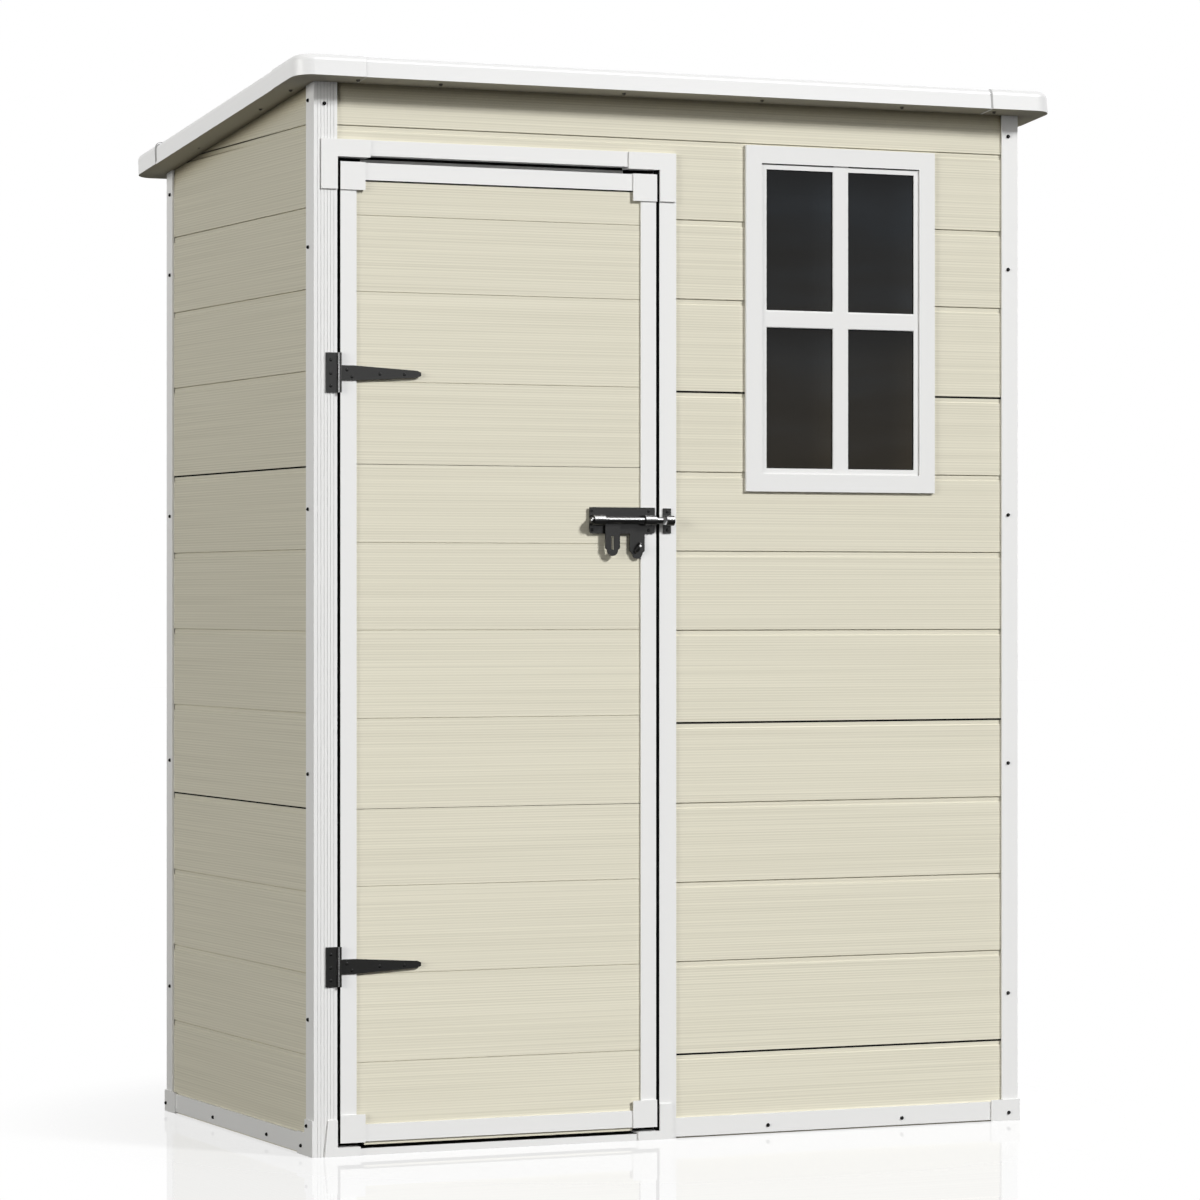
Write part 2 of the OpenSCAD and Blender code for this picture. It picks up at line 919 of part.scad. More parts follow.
// Corner cap that wraps the lower left corner of the door's frame.
module door_corner_cap() {
    difference() {
        translate([-cap_edge_t, -cap_step, -cap_edge_t])
            cube([cap_w + cap_edge_t, door_t + 2 * cap_step, cap_h + cap_edge_t]);
        cube([cap_w + cut, door_t, cap_h + cut]);
    }
}

module door_corner_caps() {
    color(TRIM)
        at_door()
            for (right = [0, 1], top = [0, 1])
                translate([right * door_w, 0, top ? door_top : door_bottom])
                    mirror([right, 0, 0]) mirror([0, 0, top]) door_corner_cap();
}

// ---- Hinges ----

// Distance from the knuckles back to the door's and the post's face
knuckle_off = 0.6;
pin_x = door_post_w + hinge_gap / 2;
pin_y = -knuckle_r - knuckle_off;
pin_c = 0.05;
knuckle_gap = 0.5;

// Places a hinge with its pin's middle at the origin.
module at_hinges() {
    for (z = [lower_hinge_z, upper_hinge_z])
        from_corner() translate([pin_x, pin_y, z]) children();
}

// Plate on the post with the outer knuckles and the pin.
module hinge_plates() {
    knuckle_l = (hinge_h - strap_h) / 2 - knuckle_gap;
    plate_right = -knuckle_r - 1;
    color(BLACK)
        at_hinges() {
            translate([plate_right - hinge_plate_w, -pin_y - hinge_t, -hinge_h / 2])
                cube([hinge_plate_w, hinge_t, hinge_h]);
            for (side = [0, 1])
                mirror([0, 0, side])
                    translate([0, 0, hinge_h / 2 - knuckle_l]) {
                        cylinder(r = knuckle_r, h = knuckle_l);
                        translate([plate_right - 1, -pin_y - hinge_t, 0])
                            cube([-plate_right + 1, hinge_t - 0.2, knuckle_l]);
                    }
            translate([0, 0, -hinge_h / 2]) cylinder(r = pin_r, h = hinge_h);
        }
}

// Long tapered strap on the door with the middle knuckle.
module hinge_straps() {
    taper_x = 28;
    tip = 7;
    color(BLACK)
        at_hinges()
            difference() {
                union() {
                    translate([0, 0, -strap_h / 2]) cylinder(r = knuckle_r, h = strap_h);
                    translate([0, -pin_y, 0])
                        rotate([90, 0, 0])
                            linear_extrude(hinge_t)
                                polygon([
                                    [0, -strap_h / 2], [taper_x, -strap_h / 2],
                                    [strap_l - tip, -strap_tip_h / 2], [strap_l, -strap_tip_h / 4],
                                    [strap_l, strap_tip_h / 4], [strap_l - tip, strap_tip_h / 2],
                                    [taper_x, strap_h / 2], [0, strap_h / 2]
                                ]);
                }
                translate([0, 0, -strap_h]) cylinder(r = pin_r + pin_c, h = 2 * strap_h);
            }
}

// ---- Bolt and keeper ----

// Space between the back plate and the rod
rod_off = 3.4;
rod_y = -bolt_plate_t - rod_r - rod_off;
rod_c = 0.1;
saddle_t = 3.3;
// Distance from the jamb's edge to the keeper
keeper_in = 6.5;
keeper_x = jamb_x + keeper_in;
rod_tip_x = keeper_x + keeper_w + rod_past - bolt_travel;
// Distance from the door's edge to the back plate
plate_in = 3.5;
plate_right_x = door_x + door_w - plate_in;
plate_left_x = plate_right_x - bolt_plate_l;
// Length of rod that stands past the back plate's left end
rod_out = 3;
rod_x = plate_left_x - rod_out;
rod_l = rod_tip_x - rod_x;
guide_w = 22;
guide_in = 3;
hasp_gap = 3.4;
hasp_x = plate_left_x + guide_in + guide_w + hasp_gap;
// Distance between the hasp and the fixed flap beside it
catch_gap = 22.4;
catch_x = hasp_x + hasp_w + catch_gap;
catch_w = 29.3;
catch_l = 68.7;

// Outline of a hanging flap: wide body, and a narrower tongue with a round lower end.
module flap_outline(width, length) {
    top = 4;
    tongue_w = 21;
    shoulder = 2.5;
    shoulder_z = -length + tongue_w / 2 + 1;
    union() {
        polygon([
            [0, -top], [0, shoulder_z + shoulder], [shoulder, shoulder_z],
            [width - shoulder, shoulder_z], [width, shoulder_z + shoulder], [width, -top]
        ]);
        translate([(width - tongue_w) / 2, -length + tongue_w / 2]) square([tongue_w, tongue_w / 2]);
        translate([width / 2, -length + tongue_w / 2]) circle(tongue_w / 2);
    }
}

// Room for the rod, open to the back.
module rod_passage(width, bore_r) {
    translate([-cut, rod_y, 0])
        rotate([0, 90, 0]) cylinder(r = bore_r, h = width + 2 * cut);
    translate([-cut, rod_y, -bore_r])
        cube([width + 2 * cut, -rod_y + cut, 2 * bore_r]);
}

// Saddle bent around the rod, its straight legs on the plate.
module saddle(width, bore_r) {
    outer_r = rod_r + saddle_t;
    difference() {
        union() {
            translate([0, rod_y, 0])
                rotate([0, 90, 0]) cylinder(r = outer_r, h = width);
            translate([0, rod_y, -outer_r])
                cube([width, -rod_y - bolt_plate_t + eps, 2 * outer_r]);
        }
        rod_passage(width, bore_r);
    }
}

module at_bolt(x) {
    from_corner() translate([x, 0, bolt_z]) children();
}

// Height of the padlock eye above the fixed flap's lower end, and its turn on the flap
eye_up = 19.5;
eye_turn = 28;

// Back plate with its lower corners cut, two saddles for the rod, and a fixed flap with the padlock eye.
module bolt_plate() {
    corner = 3;
    low = -bolt_plate_h / 2;
    color(BLACK) {
        at_bolt(plate_left_x) {
            rotate([90, 0, 0])
                linear_extrude(bolt_plate_t)
                    polygon([
                        [0, low + corner], [corner, low], [bolt_plate_l - corner, low],
                        [bolt_plate_l, low + corner], [bolt_plate_l, -low], [0, -low]
                    ]);
            for (x = [guide_in, bolt_plate_l - guide_in - guide_w])
                translate([x, 0, 0]) saddle(guide_w, rod_r + rod_c);
        }
        at_bolt(catch_x) {
            rotate([90, 0, 0]) linear_extrude(bolt_plate_t) flap_outline(catch_w, catch_l);
            translate([catch_w / 2, -bolt_plate_t, -catch_l + eye_up])
                rotate([0, eye_turn, 0]) padlock_eye();
        }
    }
}

// Half ring that stands on the plate, its feet one above the other.
module padlock_eye() {
    eye_w = 3.6;
    eye_r = 11;
    hole_r = 7;
    rotate([90, 0, 90])
        translate([0, 0, -eye_w / 2])
            linear_extrude(eye_w)
                difference() {
                    circle(eye_r);
                    circle(hole_r);
                    translate([eps, -2 * eye_r]) square([2 * eye_r, 4 * eye_r]);
                }
}

// Round rod with both ends chamfered.
module bolt_rod() {
    chamfer = 1.6;
    color(STEEL)
        at_bolt(rod_x)
            translate([0, rod_y, 0])
                rotate([0, 90, 0])
                    rotate_extrude()
                        polygon([
                            [0, 0], [rod_r - chamfer, 0], [rod_r, chamfer],
                            [rod_r, rod_l - chamfer], [rod_r - chamfer, rod_l], [0, rod_l]
                        ]);
}

// Slotted flap whose upper edge seats under the back of the rod.
module hasp() {
    slot_w = 5.2;
    slot_l = 24.6;
    slot_up = 11.4;
    color(BLACK)
        at_bolt(hasp_x)
            difference() {
                translate([0, rod_y + hasp_in + bolt_plate_t, 0])
                    rotate([90, 0, 0])
                        linear_extrude(bolt_plate_t)
                            difference() {
                                flap_outline(hasp_w, hasp_l);
                                translate([(hasp_w - slot_w) / 2, -hasp_l + slot_up])
                                    square([slot_w, slot_l]);
                            }
                translate([-cut, rod_y, 0])
                    rotate([0, 90, 0]) cylinder(r = rod_r + rod_c, h = hasp_w + 2 * cut);
            }
}

// Clearance around the rod in the keeper
keeper_c = 1.6;

// Strap bent around the rod, with a flat foot above and below it.
module keeper() {
    color(BLACK)
        at_bolt(keeper_x)
            difference() {
                union() {
                    translate([0, -bolt_plate_t, -keeper_h / 2])
                        cube([keeper_w, bolt_plate_t, keeper_h]);
                    saddle(keeper_w, rod_r + keeper_c);
                }
                rod_passage(keeper_w, rod_r + keeper_c);
            }
}

front_wall_base();
front_wall_lower();
front_wall_middle();
front_wall_upper();
front_wall_header();
left_wall_lower();
left_wall_middle();
left_wall_upper();
right_wall_lower();
right_wall_middle();
right_wall_upper();
back_wall_lower();
back_wall_middle();
back_wall_upper();
door_post();
front_right_post();
back_left_post();
back_right_post();
door_jamb();
head_rail();
head_corners();
threshold();
door_feet();
front_base_rail();
left_base_rail();
right_base_rail();
back_base_rail();
base_corners();
window_frame();
window_sash();
window_glass();
roof_panel();
front_roof_trim();
back_roof_trim();
left_roof_trim();
right_roof_trim();
roof_corner_caps();
door_panel_lower();
door_panel_middle();
door_panel_upper();
door_stiles();
door_rails();
door_corner_caps();
hinge_plates();
hinge_straps();
bolt_plate();
bolt_rod();
hasp();
keeper();
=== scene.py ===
"""Finishes, fixings and studio stage for a lean-to resin garden shed."""

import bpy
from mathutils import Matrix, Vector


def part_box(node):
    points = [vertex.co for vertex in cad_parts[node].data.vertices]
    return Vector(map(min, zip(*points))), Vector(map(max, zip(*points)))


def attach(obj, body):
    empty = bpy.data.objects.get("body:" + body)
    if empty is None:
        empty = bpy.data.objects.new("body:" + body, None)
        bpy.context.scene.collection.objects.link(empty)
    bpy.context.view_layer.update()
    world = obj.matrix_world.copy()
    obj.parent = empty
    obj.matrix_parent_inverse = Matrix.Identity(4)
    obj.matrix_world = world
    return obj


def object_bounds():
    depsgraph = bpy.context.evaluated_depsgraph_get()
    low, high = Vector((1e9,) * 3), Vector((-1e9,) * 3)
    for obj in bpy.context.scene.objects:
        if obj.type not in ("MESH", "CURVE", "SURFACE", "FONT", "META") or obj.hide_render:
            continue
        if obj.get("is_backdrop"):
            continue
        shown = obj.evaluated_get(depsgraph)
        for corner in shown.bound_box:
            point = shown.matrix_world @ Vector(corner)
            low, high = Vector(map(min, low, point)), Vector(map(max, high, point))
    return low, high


bl_info = {
    "name": "Resin Garden Shed",
    "version": (1, 0, 0),
    "blender": (4, 5, 0),
    "location": "3D View > Sidebar > Shed",
    "description": "Dresses a resin garden shed: plastics, tinted panes, ironwork, screws, seals and stage",
    "category": "Object",
}

import math

import bmesh
import bpy
from mathutils import Matrix, Vector

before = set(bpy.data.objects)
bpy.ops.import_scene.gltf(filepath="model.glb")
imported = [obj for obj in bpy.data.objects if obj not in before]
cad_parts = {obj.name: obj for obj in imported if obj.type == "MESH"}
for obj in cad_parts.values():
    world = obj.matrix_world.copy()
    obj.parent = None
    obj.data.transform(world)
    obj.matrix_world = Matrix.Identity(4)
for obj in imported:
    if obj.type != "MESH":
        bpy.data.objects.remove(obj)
cad_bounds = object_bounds()

FRONT = Vector((0, -1, 0))
BACK = Vector((0, 1, 0))
LEFT = Vector((-1, 0, 0))
RIGHT = Vector((1, 0, 0))
UP = Vector((0, 0, 1))
DOWN = Vector((0, 0, -1))
# Sizes of the shed that the seals follow
RAIL_HEIGHT = 0.030
CAP_WIDTH = 0.047
CAP_HEIGHT = 0.0485
WINDOW_FACE = 0.032
WINDOW_LAP = 0.022
SASH_WIDTH = 0.0105
BAR_WIDTH = 0.032
# Distance that a screw's plate stands in front of the face behind it
PLATE = 0.0025
# Share of a face's direction that has to point along another one for the two to count as the same
ALIGNED = 0.99
WHITE = (1.0, 1.0, 1.0)
# Tint of the painted shade in corners and under the eaves, and the two depths under the roof's top between
# which it fades
PAINTED_SHADE_TINT = (1.0, 0.82, 0.45)
EAVES_FADE = (0.055, 0.030)
# Heights between which the painted shade fades in above the ground
GROUND_FADE = (0.05, 0.10)
# Reach of the roof trims' undersides, from near their face to the wall
UNDERSIDE = (0.004, 0.046)

BOARD_NODES = [
    "front_wall_base", "front_wall_lower", "front_wall_middle", "front_wall_upper", "front_wall_header",
    "left_wall_lower", "left_wall_middle", "left_wall_upper",
    "right_wall_lower", "right_wall_middle", "right_wall_upper",
    "back_wall_lower", "back_wall_middle", "back_wall_upper",
    "door_panel_lower", "door_panel_middle", "door_panel_upper",
]
TRIM_NODES = [
    "door_post", "front_right_post", "back_left_post", "back_right_post", "door_jamb",
    "head_rail", "head_corners", "threshold", "door_feet",
    "front_base_rail", "left_base_rail", "right_base_rail", "back_base_rail", "base_corners",
    "door_stiles", "door_rails", "door_corner_caps",
]
WINDOW_FRAME_NODES = ["window_frame", "window_sash"]
ROOF_NODES = [
    "roof_panel", "front_roof_trim", "back_roof_trim", "left_roof_trim", "right_roof_trim",
    "roof_corner_caps",
]
IRONWORK_NODES = ["hinge_plates", "hinge_straps", "bolt_plate", "hasp", "keeper"]


# ---- Settings ----

def colour_value(name, description, default):
    return bpy.props.FloatVectorProperty(
        name=name, description=description, subtype="COLOR", size=3, min=0, max=1, default=default)


def length_value(name, description, default, **limits):
    return bpy.props.FloatProperty(
        name=name, description=description, subtype="DISTANCE", unit="LENGTH", default=default, **limits)


def angle_value(name, description, degrees, **limits):
    return bpy.props.FloatProperty(
        name=name, description=description, subtype="ANGLE", unit="ROTATION",
        default=math.radians(degrees), **limits)


def plain_value(name, description, default, high, low=0):
    return bpy.props.FloatProperty(name=name, description=description, min=low, max=high, default=default)


class ShedColours(bpy.types.PropertyGroup):
    board: colour_value("Boards", "Colour of the board panels", (0.745, 0.714, 0.590))
    board_line: colour_value(
        "Board lines", "Colour of the fine level lines in the boards", (0.625, 0.596, 0.485))
    trim: colour_value("Trims", "Colour of the posts, rails and frames", (0.775, 0.775, 0.77))
    roof: colour_value("Roof", "Colour of the roof and its edge", (0.67, 0.67, 0.67))
    # Painted shade: the underside colour is the roof's white plastic drawn as a darker beige, as it looks in
    # shade under the eaves
    underside: colour_value(
        "Roof underside in painted shade", "Colour of the roof's underside, duller than its edge", (0.50, 0.475, 0.40))
    # Painted shade: a darker grey for the wide cap beads, standing in for the shade on the caps' unlit edges
    cap_bead: colour_value(
        "Roof cap beads in painted shade", "Colour of the sealing beads along the roof's corner caps", (0.44, 0.44, 0.44))
    # The panes' top and foot colours hold their dark tint plus a painted reflection, bluish at the top and
    # brownish at the foot
    pane_top: colour_value(
        "Panes, top", "Tint of the window panes at the window's top", (0.0085, 0.0106, 0.0129))
    pane_foot: colour_value(
        "Panes, foot", "Tint of the window panes at the window's foot", (0.0160, 0.0120, 0.0062))
    ironwork: colour_value("Ironwork", "Colour of the hinges and the bolt", (0.010, 0.010, 0.0095))
    rod: colour_value("Rod", "Colour of the bolt's rod", (0.006, 0.006, 0.006))
    screw: colour_value("Screws", "Colour of the screws", (0.006, 0.006, 0.006))
    dusty_screw: colour_value("Eaves screws", "Colour of the screws under the eaves", (0.12, 0.115, 0.10))
    # The seal colour also serves black strips and faces that stand in for the shade in gaps around the door,
    # over the sash and over the door's head: painted shade
    seal: colour_value("Seals", "Colour of the rubber seals", (0.004, 0.004, 0.004))


class ShedFixings(bpy.types.PropertyGroup):
    head_width: length_value(
        "Frame screw width", "Diameter of the screw heads in the posts and rails", 0.0068,
        min=0.003, max=0.012)
    head_height: length_value(
        "Frame screw height", "Height of those screw heads", 0.0038, min=0.001, max=0.005)
    iron_head_width: length_value(
        "Ironwork screw width", "Diameter of the screw heads in the hinges and the bolt", 0.0060,
        min=0.003, max=0.010)
    iron_head_height: length_value(
        "Ironwork screw height", "Height of those screw heads", 0.0011, min=0.0003, max=0.003)
    seal_width: length_value(
        "Seal width", "Width of the seals, from the face of the door frame inwards", 0.0245,
        min=0.010, max=0.027)
    seal_height: length_value("Seal height", "Height of the seals' lips", 0.0009, min=0.0004, max=0.001)


class ShedStage(bpy.types.PropertyGroup):
    key_strength: plain_value("Main light", "Strength of the main lamp, high at the front right", 3.4, 6)
    key_angle: angle_value("Main softness", "Angle that the main lamp spans", 10.5, min=0, max=1.0)
    fill_strength: plain_value("Fill light", "Strength of the wide lamp, low at the left", 1.55, 6)
    fill_angle: angle_value("Fill softness", "Angle that the wide lamps span", 24, min=0, max=1.0)
    sky_front: plain_value("Front sky", "Strength of the even light from the front", 0.06, 4)
    sky_back: plain_value("Back sky", "Strength of the even light from behind the shed", 1.0, 4)
    roof_side: plain_value(
        "Roof side light", "Strength of the wide lamp at the left that lights the roof's edge alone", 1.3, 6)
    trim_side: plain_value(
        "Trim side light", "Strength of the wide lamp at the left that lights the white trims alone", 0.27, 6)
    overhead_box: plain_value(
        "Overhead highlight", "Brightness of the soft box that the ironwork mirrors from above", 22, 60)
    side_box: plain_value(
        "Side highlight", "Brightness of the soft box that the ironwork mirrors at the left", 20, 60)
    gloss: plain_value("Floor gloss", "Share of the floor that mirrors the shed", 0.2, 1)
    shade: plain_value("Floor shade", "Share of the floor that takes the shed's shadow", 0.18, 1)
    distance: length_value(
        "Camera distance", "Distance from the camera to the shed's middle", 8.541, min=2, max=20)
    turn: angle_value(
        "Camera turn", "Turn of the camera around the shed, towards its left side", 24.1, min=-3.2, max=3.2)
    aim_x: length_value("Aim across", "Place across the front that the camera looks at", 0.0244)
    eye_height: length_value("Eye height", "Height of the camera", 0.9759)
    lens: plain_value("Lens", "Focal length in millimetres", 135.4, 300, low=20)


# ---- Material helpers ----

def new_material(name, roughness, gloss):
    """A material, its node tree and its shader, with the shader's roughness and gloss set."""
    material = bpy.data.materials.new(name)
    material.use_nodes = True
    shader = material.node_tree.nodes["Principled BSDF"]
    shader.inputs["Roughness"].default_value = roughness
    shader.inputs["Specular IOR Level"].default_value = gloss
    return material, material.node_tree, shader


def fill(tree, socket, value):
    """Links the socket to a node's output, or else sets it to the value. A colour is three numbers."""
    if isinstance(value, bpy.types.NodeSocket):
        tree.links.new(value, socket)
    else:
        socket.default_value = (*value, 1.0) if socket.type == "RGBA" else value


def add_node(tree, kind, inputs=(), **settings):
    """A shader node with its settings made and its inputs filled."""
    node = tree.nodes.new("ShaderNode" + kind)
    for setting, value in settings.items():
        setattr(node, setting, value)
    for socket, value in dict(inputs).items():
        fill(tree, node.inputs[socket], value)
    return node


def object_place(tree, scale=(1, 1, 1)):
    """Object coordinates, stretched by scale."""
    coordinates = add_node(tree, "TexCoord")
    return add_node(
        tree, "Mapping", {"Vector": coordinates.outputs["Object"], "Scale": scale}).outputs["Vector"]


def axis_of(tree, vector, axis):
    return add_node(tree, "SeparateXYZ", {"Vector": vector}).outputs[axis]


def noise(tree, place, scale=1.0, detail=2.0):
    return add_node(tree, "TexNoise", {"Vector": place, "Scale": scale, "Detail": detail}).outputs["Fac"]


def spread(tree, value, low, high, least=0.0, most=1.0, **settings):
    """Stretches the value between low and high over least to most."""
    limits = {"From Min": low, "From Max": high, "To Min": least, "To Max": most}
    return add_node(tree, "MapRange", {"Value": value, **limits}, **settings).outputs["Result"]


def calculate(tree, operation, *values):
    """One step of arithmetic on numbers and nodes' outputs."""
    return add_node(tree, "Math", enumerate(values), operation=operation).outputs["Value"]


def measure(tree, operation, *vectors):
    """A number from one or two vectors, such as a length or a dot product."""
    return add_node(tree, "VectorMath", enumerate(vectors), operation=operation).outputs["Value"]


def scaled(tree, colour, share):
    return add_node(
        tree, "VectorMath", {"Vector": colour, "Scale": share}, operation="SCALE").outputs["Vector"]


def mix_colours(tree, factor, first, second, blend="MIX"):
    return add_node(
        tree, "Mix", {"Factor": factor, "A": first, "B": second}, data_type="RGBA", blend_type=blend,
    ).outputs["Result"]


def mix_shaders(tree, factor, first, second):
    return add_node(tree, "MixShader", {"Fac": factor, 1: first, 2: second}).outputs["Shader"]


def add_bump(tree, shader, height, strength, distance):
    bump = add_node(tree, "Bump", {"Height": height, "Strength": strength, "Distance": distance})
    tree.links.new(bump.outputs["Normal"], shader.inputs["Normal"])


def paint_corner_shade(tree, shader, colour, unshaded_from, least, most, tint=WHITE):
    """Paints shade into the colour: darkens and tints it in tight corners, by least on the walls and by most
    under the eaves.
    """
    # Painted shade: ambient occlusion within 5 cm marks where the colour is darkened and tinted
    openness = add_node(tree, "AmbientOcclusion", {"Distance": 0.05}, samples=6)
    unshaded = spread(tree, openness.outputs["AO"], 0.35, unshaded_from)
    start, _, up = roof_slope()
    top = start.dot(up)
    place = object_place(tree)
    eaves = spread(
        tree, measure(tree, "DOT_PRODUCT", place, up), *(top - depth for depth in EAVES_FADE), least, most)
    share = calculate(tree, "MULTIPLY", eaves, spread(tree, axis_of(tree, place, "Z"), *GROUND_FADE))
    painted_shade = scaled(tree, mix_colours(tree, unshaded, tint, WHITE), unshaded)
    fill(tree, shader.inputs["Base Color"], mix_colours(tree, share, colour, painted_shade, "MULTIPLY"))


def pane_opening():
    """Two corners of the opening inside the sash, at the panes' face."""
    low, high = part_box("window_frame")
    pane_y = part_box("window_glass")[0].y
    inner = WINDOW_FACE + SASH_WIDTH
    return Vector((low.x + inner, pane_y, low.z + inner)), Vector((high.x - inner, pane_y, high.z - inner))


def wall_slope():
    """The walls' top at the front: its height, its place, the back's place, and the fall for each metre."""
    front_low, front_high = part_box("door_post")
    back_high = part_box("back_left_post")[1]
    fall = (front_high.z - back_high.z) / (back_high.y - front_low.y)
    return front_high.z, front_low.y, back_high.y, fall


def roof_slope():
    """The roof's lower front edge at its left end, the way back down the slope, and the way up from it."""
    front_z, front_y, _, fall = wall_slope()
    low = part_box("roof_corner_caps")[0]
    start = Vector((low.x, low.y, front_z + fall * (front_y - low.y)))
    return start, Vector((0, 1, -fall)).normalized(), Vector((0, fall, 1)).normalized()


def finish_nodes(names, material):
    """Gives the material to CAD nodes."""
    for name in names:
        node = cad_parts[name]
        node.data.materials.clear()
        node.data.materials.append(material)


# ---- Materials ----

def board_plastic(colours):
    """Matte beige plastic with fine level lines, and painted shade in corners and under the eaves."""
    material, tree, shader = new_material("Board plastic", 0.72, 0.25)
    grooves = add_node(
        tree, "TexWave",
        {"Vector": object_place(tree), "Scale": 68.0, "Distortion": 0.6, "Detail Scale": 0.05},
        bands_direction="Z")
    streaks = noise(tree, object_place(tree, (1.3, 1.3, 520)), detail=1.0)
    lines = calculate(tree, "MULTIPLY_ADD", grooves.outputs["Fac"], 0.35, streaks)
    boards = mix_colours(tree, spread(tree, lines, 0.35, 0.95), colours.board_line, colours.board)
    paint_corner_shade(tree, shader, boards, 0.85, 0.0, 1.0, PAINTED_SHADE_TINT)
    add_bump(tree, shader, lines, 0.08, 0.0003)
    return material


def smooth_plastic(name, colour, roughness, gloss=0.5, most=0.5, tint=WHITE):
    """White plastic with a faint moulding ripple, and painted shade in corners and under the eaves."""
    material, tree, shader = new_material(name, roughness, gloss)
    paint_corner_shade(tree, shader, colour, 0.60, 0.15, most, tint)
    add_bump(tree, shader, noise(tree, object_place(tree), 90.0), 0.08, 0.0003)
    return material


def tinted_pane(colours):
    """Dark tinted sheet, glossy and barely see-through, with a painted reflection that is brownish towards
    its foot, bluish towards its top, faintly streaked and lighter towards each pane's right side, and a
    painted shadow along each pane's top.
    """
    material, tree, shader = new_material("Tinted pane", 0.08, 0.25)
    low, high = pane_opening()
    place = object_place(tree)
    x, z = axis_of(tree, place, "X"), axis_of(tree, place, "Z")
    # Painted reflection: streaked noise clouds, and a bluish top over a brownish foot
    painted_clouds = noise(tree, object_place(tree, (2.2, 2.2, 12)), detail=4.0)
    rise = spread(tree, z, low.z, high.z)
    factor = spread(tree, calculate(tree, "MULTIPLY_ADD", painted_clouds, 1.5, rise), 0.75, 1.65)
    tint = mix_colours(tree, factor, colours.pane_foot, colours.pane_top)
    # Painted reflection lighter towards each pane's right side, and painted shadow darker along each pane's
    # top
    across = calculate(tree, "FRACT", spread(tree, x, low.x, high.x + BAR_WIDTH, 0.0, 2.0))
    down = calculate(tree, "FRACT", spread(tree, z, low.z - BAR_WIDTH, high.z, 2.0, 0.0))
    painted_reflection_and_shadow = calculate(
        tree, "MULTIPLY", spread(tree, across, 0.5, 0.9, 0.9, 1.7), spread(tree, down, 0.0, 0.2, 0.3, 1.0))
    painted_reflection_and_shadow = calculate(tree, "MULTIPLY", painted_reflection_and_shadow, spread(tree, painted_clouds, 0.35, 0.65, 0.6, 1.4))
    fill(tree, shader.inputs["Base Color"], scaled(tree, tint, painted_reflection_and_shadow))
    shader.inputs["Alpha"].default_value = 0.9
    return material


def grained(name, colour, roughness, gloss, strength, distance, stretch, fineness=1.0):
    """One plain colour with a fine grain."""
    material, tree, shader = new_material(name, roughness, gloss)
    fill(tree, shader.inputs["Base Color"], colour)
    add_bump(tree, shader, noise(tree, object_place(tree, stretch), fineness), strength, distance)
    return material


def satin_black(name, colour, roughness, gloss):
    """Coated steel with a fine grain."""
    return grained(name, colour, roughness, gloss, 0.05, 0.0002, (1, 1, 1), 900.0)


def polished_rod(colours):
    """Dark polished steel with fine lines around the rod."""
    return grained("Polished rod", colours.rod, 0.16, 0.5, 0.04, 0.0001, (900, 40, 40))


def black_rubber_and_painted_shade(colours):
    """Matte black rubber with a fine grain. Several pieces made of it stand in for the shade in dark gaps:
    painted shade.
    """
    return grained("Black rubber and painted shade", colours.seal, 0.85, 0.1, 0.1, 0.0002, (1, 1, 1), 1200.0)


# ---- Mesh helpers ----

def scene_object(name, bm):
    """Turns a bmesh into an object of the scene."""
    mesh = bpy.data.meshes.new(name)
    bm.to_mesh(mesh)
    bm.free()
    piece = bpy.data.objects.new(name, mesh)
    bpy.context.scene.collection.objects.link(piece)
    return piece


def linked_piece(name, bm, body, material):
    """Turns a bmesh into a piece that rides on a body."""
    piece = scene_object(name, bm)
    piece.data.materials.append(material)
    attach(piece, body)
    return piece


def join_rings(bm, rings):
    """Faces between each ring of corners and the next."""
    for ring, after in zip(rings, rings[1:]):
        for k in range(len(ring)):
            m = (k + 1) % len(ring)
            bm.faces.new((ring[k], ring[m], after[m], after[k]))


def closed_run(bm, rings):
    """Joins the rings and closes both ends."""
    join_rings(bm, rings)
    bm.faces.new(rings[0])
    bm.faces.new(rings[-1])
    bmesh.ops.recalc_face_normals(bm, faces=bm.faces)


def level_run(start_x, end_x, y, z):
    """The two ends of a level line across the shed."""
    return Vector((start_x, y, z)), Vector((end_x, y, z))


def extrusion(name, section, run, across, outward, body, material):
    """A strip of one section between a run's two ends. Section points are (along across, along outward)."""
    bm = bmesh.new()
    closed_run(bm, [[bm.verts.new(point + across * a + outward * b) for a, b in section] for point in run])
    return linked_piece(name, bm, body, material)


def joined_copies(name, template, places, body, material):
    """One mesh of the template at every (point, outward direction), riding on a body."""
    bm = bmesh.new()
    for point, outward in places:
        matrix = Matrix.Translation(point) @ outward.to_track_quat("Z", "Y").to_matrix().to_4x4()
        before = len(bm.verts)
        bm.from_mesh(template)
        bm.verts.ensure_lookup_table()
        bmesh.ops.transform(bm, matrix=matrix, verts=bm.verts[before:])
    return linked_piece(name, bm, body, material)


def dome_profile(width, height, steps=6):
    """Points (radius, height) from the rim up to the crown of a low dome."""
    ball = (width ** 2 / 4 + height ** 2) / (2 * height)
    sweep = math.asin(width / 2 / ball)
    turns = [sweep * (1 - k / steps) for k in range(steps + 1)]
    return [(ball * math.sin(turn), ball * math.cos(turn) - ball + height) for turn in turns]


